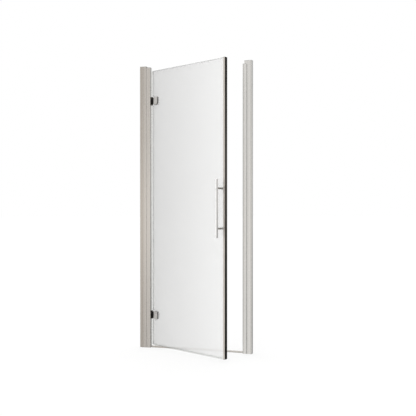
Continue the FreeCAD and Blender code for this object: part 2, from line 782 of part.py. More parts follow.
def hinge_bracket(name, z):
    """A plate on the post with two ears that hold the pin."""
    body = new_body(f"{name}_hinge_bracket")
    plate = rectangle(-axis_gap, bracket_face, -bracket_side, bracket_side)
    extrude(body, "Plate", new_sketch(body, "PlateOutline", "XY_Plane", [plate]), bracket_half * 2,
            midplane=True)
    for side, lift in (("Lower", -bracket_half), ("Upper", ear_start)):
        arm = rectangle(bracket_face, ZERO, -knuckle_radius, knuckle_radius)
        extrude(body, f"{side}Arm", new_sketch(body, f"{side}ArmOutline", "XY_Plane", [arm],
                                               shift=(ZERO, ZERO, lift)), s.ear_thickness)
        extrude(body, f"{side}Ear", new_sketch(body, f"{side}EarOutline", "XY_Plane",
                                               circles=[(ZERO, ZERO, knuckle_radius)],
                                               shift=(ZERO, ZERO, lift)), s.ear_thickness)
    cut_through(body, "PinBore", new_sketch(body, "PinBoreOutline", "XY_Plane",
                                            circles=[(ZERO, ZERO, s.pin_radius)]), bracket_half)
    round_edges(body, "PlateCorners", smaller(s.bracket_round, s.bracket_margin),
                lambda edge: runs_along(edge, "x")
                and abs(abs(edge.CenterOfMass.y) - bracket_side.value) < MATCH)
    gap = s.screw_clear_gap
    hole = s.bracket_screw_radius + gap
    mouth = s.bracket_screw_head_radius + gap
    sink = [(-(s.bracket_plate + s.overrun), ZERO), (s.overrun, ZERO), (s.overrun, mouth), (ZERO, mouth),
            (hole - mouth, hole), (-(s.bracket_plate + s.overrun), hole)]
    for number, (side, up) in enumerate(((-1, -1), (-1, 1), (1, -1), (1, 1))):
        turn(body, f"ScrewHole{number}", sink, "H_Axis",
             (bracket_face, side * bracket_screw_y, up * bracket_screw_z), "PartDesign::Groove")
    place_frame(body, axis_x, z)


def hinge_pin(name, z):
    """A pin pressed through both ears, with a low head on top."""
    body = new_body(f"{name}_hinge_pin")
    extrude(body, "Shank", new_sketch(body, "ShankOutline", "XY_Plane", circles=[(ZERO, ZERO, s.pin_radius)]),
            bracket_half * 2, midplane=True)
    extrude(body, "Head", new_sketch(body, "HeadOutline", "XY_Plane",
                                     circles=[(ZERO, ZERO, s.pin_head_radius)],
                                     shift=(ZERO, ZERO, bracket_half)), s.pin_head_height)
    round_edges(body, "HeadEdge", s.pin_head_height * head_round_share,
                lambda edge: lies_at(edge, z=bracket_half + s.pin_head_height))
    place_frame(body, axis_x, z)


def bracket_screws(name, z):
    """Four countersunk screws through the bracket and the post into the backing plate."""
    body = new_body(f"{name}_bracket_screws")
    shank = s.bracket_screw_radius
    head = s.bracket_screw_head_radius
    outline = [(-s.bracket_screw_length, ZERO), (ZERO, ZERO), (ZERO, head), (shank - head, shank),
               (-s.bracket_screw_length, shank)]
    first = turn(body, "Screw", outline, "H_Axis", (bracket_face, -bracket_screw_y, -bracket_screw_z))
    row = repeat(body, first, "Grid", "Z_Axis", bracket_screw_z * 2)
    row.Direction2 = (origin_feature(body, "Y_Axis"), [""])
    row.setExpression("Length2", (bracket_screw_y * 2).text)
    row.Occurrences2 = 2
    doc.recompute()
    place_frame(body, axis_x, z)


def backing_plate(name, z):
    """A threaded plate inside the post, behind the bracket."""
    body = new_body(f"{name}_backing_plate")
    side = smaller(bracket_side, post_half - s.post_wall - s.backing_inset)
    height = bracket_half - s.backing_inset
    near = -(axis_gap + s.post_face_wall)
    outline = rectangle(near - s.backing_thickness, near, -side, side)
    extrude(body, "Plate", new_sketch(body, "PlateOutline", "XY_Plane", [outline]), height * 2, midplane=True)
    holes = [(across * bracket_screw_y, up * bracket_screw_z, s.bracket_screw_radius + s.thread_gap)
             for across in (-1, 1) for up in (-1, 1)]
    cut_through(body, "Threads", new_sketch(body, "ThreadPlaces", "YZ_Plane", circles=holes,
                                            shift=(ZERO, ZERO, near)), s.backing_thickness)
    place_frame(body, axis_x, z)


# Hinges: the half that swings with the glass

def hinge_knuckle(name, z):
    """A barrel and block that turn on the pin, with a tongue between the clamp plates."""
    body = new_body(f"{name}_hinge_knuckle")
    barrel = new_sketch(body, "BarrelOutline", "XY_Plane", circles=[(ZERO, ZERO, knuckle_radius)])
    extrude(body, "Barrel", barrel, s.knuckle_height, midplane=True)
    block = rectangle(ZERO, s.knuckle_block_length, -knuckle_radius, knuckle_radius)
    extrude(body, "Block", new_sketch(body, "BlockOutline", "XY_Plane", [block]), s.knuckle_height,
            midplane=True)
    round_edges(body, "BlockEdges", s.knuckle_round,
                lambda edge: runs_along(edge, "z") and lies_at(edge, x=s.knuckle_block_length))
    tongue = rectangle(s.knuckle_block_length - s.knuckle_round, tongue_end, -clamp_half, clamp_half)
    extrude(body, "Tongue", new_sketch(body, "TongueOutline", "XY_Plane", [tongue]), s.tongue_height,
            midplane=True)
    cut_through(body, "BushBore", new_sketch(body, "BushBoreOutline", "XY_Plane",
                                             circles=[(ZERO, ZERO, bush_radius)]), knuckle_half)
    hole = s.clamp_screw_radius + s.screw_clear_gap
    holes = [(clamp_screw_x, up * clamp_screw_z, hole) for up in (-1, 1)]
    cut_through(body, "ScrewHoles", new_sketch(body, "ScrewHolePlaces", "XZ_Plane", circles=holes),
                clamp_half)
    hang(body, z)


def hinge_bushes(name, z):
    """Two flanged bushes, pressed into the ends of the barrel."""
    body = new_body(f"{name}_hinge_bushes")
    bore = s.pin_radius + s.running_gap
    top = knuckle_half + s.bush_flange_thickness
    for end, sign in (("Upper", 1), ("Lower", -1)):
        inner_end = knuckle_half - s.bush_length
        ring = [(bore, sign * inner_end), (bush_radius, sign * inner_end),
                (bush_radius, sign * knuckle_half), (s.bush_flange_radius, sign * knuckle_half),
                (s.bush_flange_radius, sign * top), (bore, sign * top)]
        sketch = new_sketch(body, f"{end}Ring", "XZ_Plane", [ring])
        bush = body.newObject("PartDesign::Revolution", f"{end}Bush")
        bush.Profile = sketch
        bush.ReferenceAxis = (sketch, ["V_Axis"])
        bush.Angle = FULL_TURN
        doc.recompute()
    hang(body, z)


def clamp_plate(name, side, front, z):
    """A crowned plate that holds the glass; the back one takes the screw heads."""
    body = new_body(f"{name}_{side}_plate")
    seat = clamp_half
    edge_face = seat + s.plate_side_thickness
    if front:
        outline = [(plate_start, -edge_face, s.plate_crown_radius), (plate_end, -edge_face),
                   (plate_end, -seat), (plate_start, -seat)]
    else:
        outline = [(plate_start, seat), (plate_end, seat), (plate_end, edge_face, s.plate_crown_radius),
                   (plate_start, edge_face)]
    extrude(body, "Crown", new_sketch(body, "Section", "XY_Plane", [outline]), s.plate_height, midplane=True)
    round_edges(body, "OuterCorners", smaller(s.plate_outer_corner, plate_half),
                lambda edge: runs_along(edge, "y") and lies_at(edge, x=plate_end))
    round_edges(body, "InnerCorners", smaller(s.plate_inner_corner, plate_half),
                lambda edge: runs_along(edge, "y") and lies_at(edge, x=plate_start))
    seat_y = -seat if front else seat
    round_edges(body, "Pillow", smaller(s.plate_round, s.plate_side_thickness * pillow_round_share),
                lambda edge: not runs_along(edge, "y") and not lies_at(edge, y=seat_y)
                and edge.BoundBox.YLength < s.plate_side_thickness.value * pillow_reach_share)
    if front:
        bite = s.clamp_screw_radius + s.thread_gap
        holes = [(clamp_screw_x, up * clamp_screw_z, bite) for up in (-1, 1)]
        sketch = new_sketch(body, "ThreadPlaces", "XZ_Plane", circles=holes, shift=(ZERO, ZERO, seat))
        extrude(body, "Threads", sketch, s.clamp_screw_bite, "PartDesign::Pocket", reverse=True)
    else:
        hole = s.clamp_screw_radius + s.screw_clear_gap
        mouth = s.clamp_screw_head_radius + s.screw_clear_gap
        sink = [(ZERO, -(s.plate_side_thickness + s.overrun)), (hole, -(s.plate_side_thickness + s.overrun)),
                (hole, hole - mouth), (mouth, ZERO), (mouth, s.plate_side_thickness),
                (ZERO, s.plate_side_thickness)]
        for number, up in enumerate((-1, 1)):
            turn(body, f"ScrewHole{number}", sink, "V_Axis",
                 (clamp_screw_x, edge_face, up * clamp_screw_z), "PartDesign::Groove")
    hang(body, z)


def clamp_gaskets(name, z):
    """Two flat gaskets between the plates and the glass, cut out round the tongue."""
    body = new_body(f"{name}_clamp_gaskets")
    left = notch_end
    right = plate_end - s.gasket_inset
    edge = plate_half - s.gasket_inset
    outline = [(left, -edge), (right, -edge), (right, edge), (left, edge), (left, slot_half),
               (slot_end, slot_half), (slot_end, -slot_half), (left, -slot_half)]
    for side, lift in (("Front", glass_half), ("Back", -clamp_half)):
        sketch = new_sketch(body, f"{side}Outline", "XZ_Plane", [outline], shift=(ZERO, ZERO, lift))
        extrude(body, side, sketch, s.gasket_thickness)
    hang(body, z)


def clamp_screws(name, z):
    """Two countersunk screws from the back plate through the tongue into the front plate."""
    body = new_body(f"{name}_clamp_screws")
    shank = s.clamp_screw_radius
    head = s.clamp_screw_head_radius
    face = clamp_half + s.plate_side_thickness
    tip = -(clamp_half + s.clamp_screw_bite - s.screw_clear_gap)
    outline = [(ZERO, tip), (shank, tip), (shank, face + shank - head), (head, face), (ZERO, face)]
    first = turn(body, "Screw", outline, "V_Axis", (clamp_screw_x, ZERO, -clamp_screw_z))
    repeat(body, first, "Pair", "Z_Axis", s.clamp_screw_spread)
    hang(body, z)


for hinge_name, hinge_z in (("lower", lower_hinge_z), ("upper", upper_hinge_z)):
    hinge_bracket(hinge_name, hinge_z)
    hinge_pin(hinge_name, hinge_z)
    bracket_screws(hinge_name, hinge_z)
    backing_plate(hinge_name, hinge_z)
    hinge_knuckle(hinge_name, hinge_z)
    hinge_bushes(hinge_name, hinge_z)
    clamp_plate(hinge_name, "front", True, hinge_z)
    clamp_plate(hinge_name, "back", False, hinge_z)
    clamp_gaskets(hinge_name, hinge_z)
    clamp_screws(hinge_name, hinge_z)


# Glass leaf, drawn closed about the hinge axis

def hinge_notch(z):
    """Corners of one hinge cut-out, from its top to its bottom along the glass edge."""
    return [(glass_start, z + notch_half), (notch_end, z + notch_half), (notch_end, z + slot_half),
            (slot_end, z + slot_half), (slot_end, z - slot_half), (notch_end, z - slot_half),
            (notch_end, z - notch_half), (glass_start, z - notch_half)]


def door_glass():
    """The pane with its two hinge cut-outs and the two handle holes."""
    body = new_body("door_glass")
    outline = [(glass_start, glass_bottom), (glass_end, glass_bottom), (glass_end, leaf_top),
               (glass_start, leaf_top)] + hinge_notch(upper_hinge_z) + hinge_notch(lower_hinge_z)
    holes = [(handle_x, handle_low_z + up * s.handle_pitch, s.handle_hole_radius) for up in (0, 1)]
    sketch = new_sketch(body, "Outline", "XZ_Plane", [outline], holes)
    extrude(body, "Pane", sketch, s.glass_thickness, midplane=True)
    round_edges(body, "NotchCorners", smaller(s.notch_round, s.tongue_height * notch_limit_share),
                lambda edge: runs_along(edge, "y")
                and (lies_at(edge, x=slot_end) or lies_at(edge, x=notch_end)))
    bevel_edges(body, "Arris", s.glass_arris,
                lambda edge: abs(abs(edge.CenterOfMass.y) - glass_half.value) < MATCH
                and (lies_at(edge, x=glass_start) or lies_at(edge, x=glass_end)
                     or lies_at(edge, z=glass_bottom) or lies_at(edge, z=leaf_top)))
    hang(body)


def edge_seal(label, low, high):
    """A clear seal clipped on the glass edge, with a bulb that stays clear of the post as it turns."""
    body = new_body(label)
    bore = glass_half + s.seal_glass_gap
    outer = bore + s.seal_leg_thickness
    leg_end = glass_start + s.seal_leg
    root = glass_start - s.seal_web - s.seal_bulb_wall
    clip = [(root, -outer), (leg_end, -outer), (leg_end, -bore), (glass_start, -bore), (glass_start, bore),
            (leg_end, bore), (leg_end, outer), (root, outer)]
    extrude(body, "Clip", new_sketch(body, "ClipOutline", "XY_Plane", [clip]), high - low)
    extrude(body, "Bulb", new_sketch(body, "BulbOutline", "XY_Plane", circles=[(bulb_x, ZERO, bulb_radius)]),
            high - low)
    extrude(body, "Hollow", new_sketch(body, "HollowOutline", "XY_Plane",
                                       circles=[(bulb_x, ZERO, bulb_radius - s.seal_bulb_wall)]),
            high - low, "PartDesign::Pocket", reverse=True)
    hang(body, low)


def drip_seal():
    """A clear strip clipped under the glass, with a fin that leans into the shower."""
    body = new_body("bottom_drip_seal")
    bore = glass_half + s.seal_glass_gap
    outer = bore + s.seal_leg_thickness
    top = s.leaf_bottom + s.drip_web + s.drip_leg
    fin_low = s.leaf_bottom - s.drip_fin_drop
    fin_out = outer + s.drip_fin_lean
    section = [(-outer, s.leaf_bottom), (outer - s.drip_fin_thickness, s.leaf_bottom),
               (fin_out - s.drip_fin_thickness, fin_low), (fin_out, fin_low), (outer, s.leaf_bottom),
               (outer, top), (bore, top), (bore, glass_bottom), (-bore, glass_bottom), (-bore, top),
               (-outer, top)]
    start = glass_start + s.seal_leg + s.seal_end_gap
    end = closing_start - s.seal_end_gap
    sketch = new_sketch(body, "Section", "YZ_Plane", [section], shift=(ZERO, ZERO, start))
    extrude(body, "Run", sketch, end - start)
    hang(body)


def closing_profile():
    """The metal edge of the leaf: a slot for the glass, two hollow sides and a slot for the magnet seal."""
    low = s.leaf_bottom + s.closing_cap
    length = s.leaf_height - s.closing_cap * 2
    slot = glass_half + s.glazing_thickness
    slot_bottom = glass_end + s.glass_end_gap
    stem = s.door_magnet_stem / 2
    stem_bottom = slot_bottom + s.closing_web
    outline = [(closing_start, -closing_half), (closing_end, -closing_half), (closing_end, -stem),
               (stem_bottom, -stem), (stem_bottom, stem), (closing_end, stem), (closing_end, closing_half),
               (closing_start, closing_half), (closing_start, slot), (slot_bottom, slot),
               (slot_bottom, -slot), (closing_start, -slot)]
    wall = s.closing_wall
    hollow_low = slot + s.closing_slot_wall
    hollow_high = closing_half - wall
    hollows = [rectangle(closing_start + wall, closing_end - wall, hollow_low, hollow_high),
               rectangle(closing_start + wall, closing_end - wall, -hollow_high, -hollow_low)]
    body = new_body("closing_profile")
    extrude(body, "Run", new_sketch(body, "Section", "XY_Plane", [outline] + hollows), length)
    round_edges(body, "OuterEdges", smaller(s.closing_round, wall * edge_limit_share),
                lambda edge: runs_along(edge, "z")
                and abs(abs(edge.CenterOfMass.y) - closing_half.value) < MATCH)
    hang(body, low)

    gaskets = new_body("closing_profile_gaskets")
    strips = [rectangle(closing_start + s.glazing_inset, glass_end - s.glazing_inset, glass_half, slot),
              rectangle(closing_start + s.glazing_inset, glass_end - s.glazing_inset, -slot, -glass_half)]
    extrude(gaskets, "Strips", new_sketch(gaskets, "Section", "XY_Plane", strips), length)
    hang(gaskets, low)

    door_magnet(low, length, stem, stem_bottom)

    caps = new_body("closing_profile_caps")
    cover = rectangle(closing_start, leaf_end, -closing_half, closing_half)
    cap = extrude(caps, "Cap", new_sketch(caps, "CapOutline", "XY_Plane", [cover]), s.closing_cap)
    repeat(caps, cap, "BothEnds", "Z_Axis", s.leaf_height - s.closing_cap)
    notch_x = glass_end + s.glass_end_gap
    notch = rectangle(closing_start - s.overrun, notch_x, -slot, slot)
    cut_through(caps, "GlassNotch", new_sketch(caps, "GlassNotchOutline", "XY_Plane", [notch]), s.leaf_height)
    round_edges(caps, "OuterEdges", smaller(s.closing_round, wall * edge_limit_share),
                lambda edge: runs_along(edge, "z") and lies_at(edge, x=leaf_end))
    hang(caps, s.leaf_bottom)


def door_magnet(low, length, stem, stem_bottom):
    """The dark seal on the leaf's free edge, with its magnet strip inside."""
    gap = s.seal_fit_gap
    head = closing_half - s.door_magnet_margin
    strip_half = s.door_magnet_strip_width / 2
    strip_end = leaf_end - s.door_magnet_head / 2
    strip_start = strip_end - s.door_magnet_strip_thickness
    outline = [(stem_bottom + gap, gap - stem), (closing_end, gap - stem), (closing_end, -head),
               (leaf_end, -head), (leaf_end, head), (closing_end, head), (closing_end, stem - gap),
               (stem_bottom + gap, stem - gap)]
    pocket = rectangle(strip_start, strip_end, -strip_half, strip_half)
    seal = new_body("door_magnet_seal")
    extrude(seal, "Run", new_sketch(seal, "Section", "XY_Plane", [outline, pocket]), length)
    hang(seal, low)
    fit = s.magnet_fit_gap
    core = rectangle(strip_start + fit, strip_end - fit, fit - strip_half, strip_half - fit)
    strip = new_body("door_magnet_strip")
    extrude(strip, "Run", new_sketch(strip, "Section", "XY_Plane", [core]), length)
    hang(strip, low)


door_glass()
hinge_clear = bracket_half + s.pin_head_height + s.seal_end_gap
edge_seal("lower_edge_seal", glass_bottom, lower_hinge_z - hinge_clear)
edge_seal("middle_edge_seal", lower_hinge_z + hinge_clear, upper_hinge_z - hinge_clear)
edge_seal("upper_edge_seal", upper_hinge_z + hinge_clear, leaf_top)
drip_seal()
closing_profile()


# Handle: a round bar on two standoffs, bolted through the glass

def handle():
    """The bar and all that holds it, each pair of pieces in a node of its own."""
    bar = new_body("handle_bar")
    bar_circle = (handle_x, handle_y, s.handle_radius)
    extrude(bar, "Run", new_sketch(bar, "Section", "XY_Plane", circles=[bar_circle]), s.handle_length)
    round_edges(bar, "Ends", s.handle_end_round, lambda edge: edge.BoundBox.ZLength < MATCH)
    hang(bar, handle_z - s.handle_length / 2)

    washer_front = glass_half + s.handle_washer_thickness
    seat = (handle_x, ZERO, handle_low_z)
    standoffs = new_body("handle_standoffs")
    socket = s.handle_stud_radius + s.thread_gap
    socket_end = washer_front + s.handle_stud_bite
    post = [(socket, -socket_end), (socket, -washer_front), (s.standoff_radius, -washer_front),
            (s.standoff_radius, handle_y), (ZERO, handle_y), (ZERO, -socket_end)]
    first = turn(standoffs, "Post", post[::-1], "V_Axis", seat)
    repeat(standoffs, first, "Pair", "Z_Axis", s.handle_pitch)
    saddle = new_sketch(standoffs, "SaddleOutline", "XY_Plane", circles=[bar_circle],
                        shift=(ZERO, ZERO, handle_z))
    cut_through(standoffs, "Saddle", saddle, s.handle_pitch)
    hang(standoffs)

    bore = s.handle_stud_radius + s.screw_clear_gap
    collar = s.handle_hole_radius - s.handle_collar_gap
    collar_end = glass_half - s.glass_thickness * s.handle_collar_share
    for side, sign in (("front", -1), ("back", 1)):
        washers = new_body(f"handle_{side}_washers")
        ring = [(bore, sign * washer_front), (bore, sign * collar_end), (collar, sign * collar_end),
                (collar, sign * glass_half), (s.handle_washer_radius, sign * glass_half),
                (s.handle_washer_radius, sign * washer_front)]
        first = turn(washers, "Washer", ring, "V_Axis", seat)
        repeat(washers, first, "Pair", "Z_Axis", s.handle_pitch)
        hang(washers)

    nuts = new_body("handle_back_nuts")
    nut_end = washer_front + s.handle_nut_height
    hole_end = washer_front + s.handle_nut_bite
    dome_radius = (s.handle_nut_radius * s.handle_nut_radius
                   + s.handle_nut_round * s.handle_nut_round) / (s.handle_nut_round * 2)
    dome = [(socket, washer_front), (s.handle_nut_radius, washer_front),
            (s.handle_nut_radius, nut_end - s.handle_nut_round, dome_radius), (ZERO, nut_end),
            (ZERO, hole_end), (socket, hole_end)]
    first = turn(nuts, "Nut", dome, "V_Axis", seat)
    repeat(nuts, first, "Pair", "Z_Axis", s.handle_pitch)
    hang(nuts)

    studs = new_body("handle_studs")
    rod = [(ZERO, s.screw_clear_gap - socket_end), (s.handle_stud_radius, s.screw_clear_gap - socket_end),
           (s.handle_stud_radius, hole_end - s.screw_clear_gap), (ZERO, hole_end - s.screw_clear_gap)]
    first = turn(studs, "Stud", rod, "V_Axis", seat)
    repeat(studs, first, "Pair", "Z_Axis", s.handle_pitch)
    hang(studs)


handle()

# Check every object, then write each piece to its own file
doc.recompute()
for item in doc.Objects:
    if "Invalid" in item.State or "Error" in item.State:
        raise RuntimeError(f"{item.Label} failed: {item.State}")
for piece in pieces:
    if piece.Shape.isNull() or not piece.Shape.isValid() or not piece.Shape.Solids:
        raise RuntimeError(f"{piece.Label} has no valid solid")
os.makedirs("parts", exist_ok=True)
for piece in pieces:
    piece.Shape.exportStep(f"parts/{piece.Label}.step")
    print(f"{piece.Label}: {len(piece.Shape.Solids)} solids")
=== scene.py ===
"""A hinged glass shower door: its finishes, its small fittings, and the studio that shows it."""

import json
import logging
import math
from dataclasses import dataclass, replace
from enum import Enum
from typing import ClassVar, Mapping, Optional, Sequence, Union

import bmesh
import bpy
from mathutils import Matrix, Vector


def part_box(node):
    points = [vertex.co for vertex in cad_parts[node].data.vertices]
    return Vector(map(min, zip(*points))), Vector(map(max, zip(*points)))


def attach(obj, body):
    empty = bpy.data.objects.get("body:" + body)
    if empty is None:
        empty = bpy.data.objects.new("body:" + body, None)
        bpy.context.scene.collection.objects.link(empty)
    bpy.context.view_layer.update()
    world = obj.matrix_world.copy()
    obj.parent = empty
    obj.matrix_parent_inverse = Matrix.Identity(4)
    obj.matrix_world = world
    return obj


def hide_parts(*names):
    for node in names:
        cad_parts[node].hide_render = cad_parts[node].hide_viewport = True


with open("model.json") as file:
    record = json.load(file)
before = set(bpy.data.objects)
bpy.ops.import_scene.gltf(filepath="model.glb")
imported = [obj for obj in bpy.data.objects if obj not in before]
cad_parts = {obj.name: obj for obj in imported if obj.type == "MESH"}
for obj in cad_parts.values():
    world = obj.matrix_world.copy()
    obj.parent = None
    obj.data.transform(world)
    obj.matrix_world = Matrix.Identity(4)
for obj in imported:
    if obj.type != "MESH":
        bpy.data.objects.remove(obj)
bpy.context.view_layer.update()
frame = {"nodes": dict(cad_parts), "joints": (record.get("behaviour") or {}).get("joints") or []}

LOG = logging.getLogger("shower_door")
MM = 0.001
METAL = 1.0
Colour = tuple[float, float, float, float]
Way = tuple[float, float, float]


# Shader sums

class Value:
    """A number socket that works in sums: each operator adds one Math node."""

    def __init__(self, shader: "Shader", socket: bpy.types.NodeSocket) -> None:
        """Holds the socket and the shader that it belongs to."""
        self.shader = shader
        self.socket = socket

    def _math(self, operation: str, *terms: Union["Value", float]) -> "Value":
        """Adds a Math node.

        Args:
            operation: Blender's name of the operation.
            terms: its inputs in order.

        Returns:
            The node's result.
        """
        node = self.shader.node("ShaderNodeMath", {"operation": operation}, dict(enumerate(terms)))
        return Value(self.shader, node.outputs[0])

    def __add__(self, other: Union["Value", float]) -> "Value":
        """Self plus other."""
        return self._math("ADD", self, other)

    __radd__ = __add__

    def __sub__(self, other: Union["Value", float]) -> "Value":
        """Self less other."""
        return self._math("SUBTRACT", self, other)

    def __rsub__(self, other: Union["Value", float]) -> "Value":
        """Other less self."""
        return self._math("SUBTRACT", other, self)

    def __mul__(self, other: Union["Value", float]) -> "Value":
        """Self times other."""
        return self._math("MULTIPLY", self, other)

    __rmul__ = __mul__

    def __truediv__(self, other: Union["Value", float]) -> "Value":
        """Self divided by other."""
        return self._math("DIVIDE", self, other)

    def __pow__(self, other: Union["Value", float]) -> "Value":
        """Self to a power."""
        return self._math("POWER", self, other)

    def __neg__(self) -> "Value":
        """Self with its sign turned."""
        return 0.0 - self

    def __abs__(self) -> "Value":
        """Self without its sign."""
        return self._math("ABSOLUTE", self)

    def turned_from(self, other: "Value") -> "Value":
        """The angle whose tangent is self over other, in radians."""
        return self._math("ARCTAN2", self, other)

    def stepped(self, low: float, high: float) -> "Value":
        """Rises smoothly from 0 to 1.

        Args:
            low: where it is still 0; it may lie above high.
            high: where it has reached 1.

        Returns:
            The risen value.
        """
        node = self.shader.node("ShaderNodeMapRange", {"interpolation_type": "SMOOTHSTEP"},
                                {"Value": self, "From Min": low, "From Max": high})
        return Value(self.shader, node.outputs["Result"])


Given = Union[Value, bpy.types.NodeSocket, float, Sequence[float]]


class Shader:
    """The node tree of a material or of the world."""

    MIX_FACTOR, MIX_FIRST, MIX_SECOND, MIX_RESULT = 0, 6, 7, 2
    UNSCALED = 1.0
    EVEN_FACING = 0.5
    GLANCING_POWER = 5.0

    def __init__(self, owner: Union[bpy.types.Material, bpy.types.World]) -> None:
        """Empties a node tree.

        Args:
            owner: the material or world that the tree belongs to.
        """
        owner.use_nodes = True
        self.tree = owner.node_tree
        self.tree.nodes.clear()

    def node(self, kind: str, settings: Optional[Mapping] = None,
             sockets: Optional[Mapping] = None) -> bpy.types.Node:
        """Adds any node.

        Args:
            kind: Blender's type of the node.
            settings: its properties, set first; a ramp's stops are pairs of place and colour.
            sockets: a value or a link for each named or numbered input.

        Returns:
            The new node.
        """
        made = self.tree.nodes.new(kind)
        for name, setting in (settings or {}).items():
            if name == "stops":
                self._set_stops(made.color_ramp, setting)
            else:
                setattr(made, name, setting)
        for name, given in (sockets or {}).items():
            source = given.socket if isinstance(given, Value) else given
            if isinstance(source, bpy.types.NodeSocket):
                self.tree.links.new(source, made.inputs[name])
            else:
                made.inputs[name].default_value = source
        return made

    @staticmethod
    def _set_stops(ramp: bpy.types.ColorRamp, stops: Sequence[tuple[float, Colour]]) -> None:
        """Gives a ramp its stops.

        Args:
            ramp: the ramp to fill.
            stops: places and colours from left to right.
        """
        while len(ramp.elements) < len(stops):
            ramp.elements.new(1.0)
        for element, (place, colour) in zip(ramp.elements, stops):
            element.position = place
            element.color = colour

    def place(self) -> bpy.types.NodeSocket:
        """The point on the piece, in metres from the door's origin."""
        return self.node("ShaderNodeTexCoord").outputs["Object"]

    def outward(self) -> bpy.types.NodeSocket:
        """The way that the surface faces, in the door's frame."""
        return self.node("ShaderNodeTexCoord").outputs["Normal"]

    def axes(self, vector: bpy.types.NodeSocket) -> tuple[Value, ...]:
        """The X, Y and Z parts of a vector."""
        split = self.node("ShaderNodeSeparateXYZ", None, {0: vector})
        return tuple(Value(self, part) for part in split.outputs)

    def along(self, vector: bpy.types.NodeSocket, way: Sequence[float]) -> Value:
        """How far a vector points a given way, from -1 to 1 for vectors of length 1.

        Args:
            vector: the vector's socket.
            way: the direction, of length 1.

        Returns:
            Their dot product.
        """
        node = self.node("ShaderNodeVectorMath", {"operation": "DOT_PRODUCT"}, {0: vector, 1: way})
        return Value(self, node.outputs["Value"])

    def stretched(self, scale: Sequence[float]) -> bpy.types.NodeSocket:
        """The point on the piece, scaled along each axis.

        Args:
            scale: how much finer a pattern gets along X, Y and Z.

        Returns:
            A vector socket.
        """
        node = self.node("ShaderNodeVectorMath", {"operation": "MULTIPLY"}, {0: self.place(), 1: scale})
        return node.outputs[0]

    def noise(self, scale: Sequence[float], detail: float = 2.0) -> Value:
        """Even cloudy noise, about 0.5 on average.

        Args:
            scale: cells per metre along X, Y and Z.
            detail: how many finer layers it has.

        Returns:
            The noise value.
        """
        node = self.node("ShaderNodeTexNoise", {"noise_dimensions": "3D"},
                         {"Vector": self.stretched(scale), "Scale": self.UNSCALED, "Detail": detail})
        return Value(self, node.outputs[0])

    def blend(self, factor: Given, first: Given, second: Given) -> bpy.types.NodeSocket:
        """A colour between two colours.

        Args:
            factor: 0 for the first, 1 for the second.
            first: a colour or a colour socket.
            second: a colour or a colour socket.

        Returns:
            A colour socket.
        """
        node = self.node("ShaderNodeMix", {"data_type": "RGBA"},
                         {self.MIX_FACTOR: factor, self.MIX_FIRST: first, self.MIX_SECOND: second})
        return node.outputs[self.MIX_RESULT]

    def bump(self, height: Value, depth: float, strength: float) -> bpy.types.NodeSocket:
        """A normal for a low relief.

        Args:
            height: 0 to 1 over the surface.
            depth: the relief's depth in metres.
            strength: how much of it shows.

        Returns:
            A normal socket.
        """
        node = self.node("ShaderNodeBump", None,
                         {"Strength": strength, "Distance": depth, "Height": height})
        return node.outputs["Normal"]

    def principled(self, sockets: Mapping) -> bpy.types.NodeSocket:
        """The usual surface shader with the given sockets."""
        return self.node("ShaderNodeBsdfPrincipled", None, sockets).outputs["BSDF"]

    def clear(self, tint: Colour) -> bpy.types.NodeSocket:
        """A see-through surface shader of one tint."""
        return self.node("ShaderNodeBsdfTransparent", None, {"Color": tint}).outputs[0]

    def mixed(self, factor: Given, first: Given, second: Given) -> bpy.types.NodeSocket:
        """A mix of two surface shaders, first at 0 and second at 1."""
        return self.node("ShaderNodeMixShader", None, {0: factor, 1: first, 2: second}).outputs[0]

    def facing_gloss(self, straight: float) -> Value:
        """Share of light that a clear surface mirrors.

        Args:
            straight: the share when it is seen square on.

        Returns:
            The share at the angle of view, the same from either side of a thin wall.
        """
        weight = self.node("ShaderNodeLayerWeight", None, {"Blend": self.EVEN_FACING})
        turned = Value(self, weight.outputs["Facing"])
        return turned ** self.GLANCING_POWER * (1.0 - straight) + straight

    def finish(self, surface: bpy.types.NodeSocket) -> None:
        """Makes a shader the material's surface."""
        self.node("ShaderNodeOutputMaterial", None, {"Surface": surface})


# Finishes

def grey(level: float, warmth: float = 0.0) -> Colour:
    """A grey of one level, a little redder and less blue with warmth."""
    return (level * (1.0 + warmth), level, level * (1.0 - warmth), 1.0)


WHITE = grey(1.0)
EVEN: Way = (1.0, 1.0, 1.0)
DRAWN_UP: Way = (1.0, 1.0, 0.01)


def cells(per_metre: float, shares: Way = EVEN) -> Way:
    """Cells of a pattern per metre along X, Y and Z, each with its share."""
    return tuple(per_metre * share for share in shares)


class Grain(Enum):
    """The way that a metal was drawn: cells per metre of its streaks are few along it."""

    UPRIGHT = (1.0, 1.0, 0.004)
    LENGTHWAYS = (0.004, 1.0, 1.0)


class Finish:
    """A finish that a piece can wear."""

    name: str
    made: ClassVar[dict[str, bpy.types.Material]] = {}

    def paint(self, shader: Shader) -> bpy.types.NodeSocket:
        """The surface shader of the finish."""
        raise NotImplementedError

    def material(self) -> bpy.types.Material:
        """The finish as a material, made once.

        Returns:
            The material of the finish's name.
        """
        if self.name not in self.made:
            fresh = bpy.data.materials.new(self.name)
            shader = Shader(fresh)
            shader.finish(self.paint(shader))
            self.made[self.name] = fresh
        return self.made[self.name]


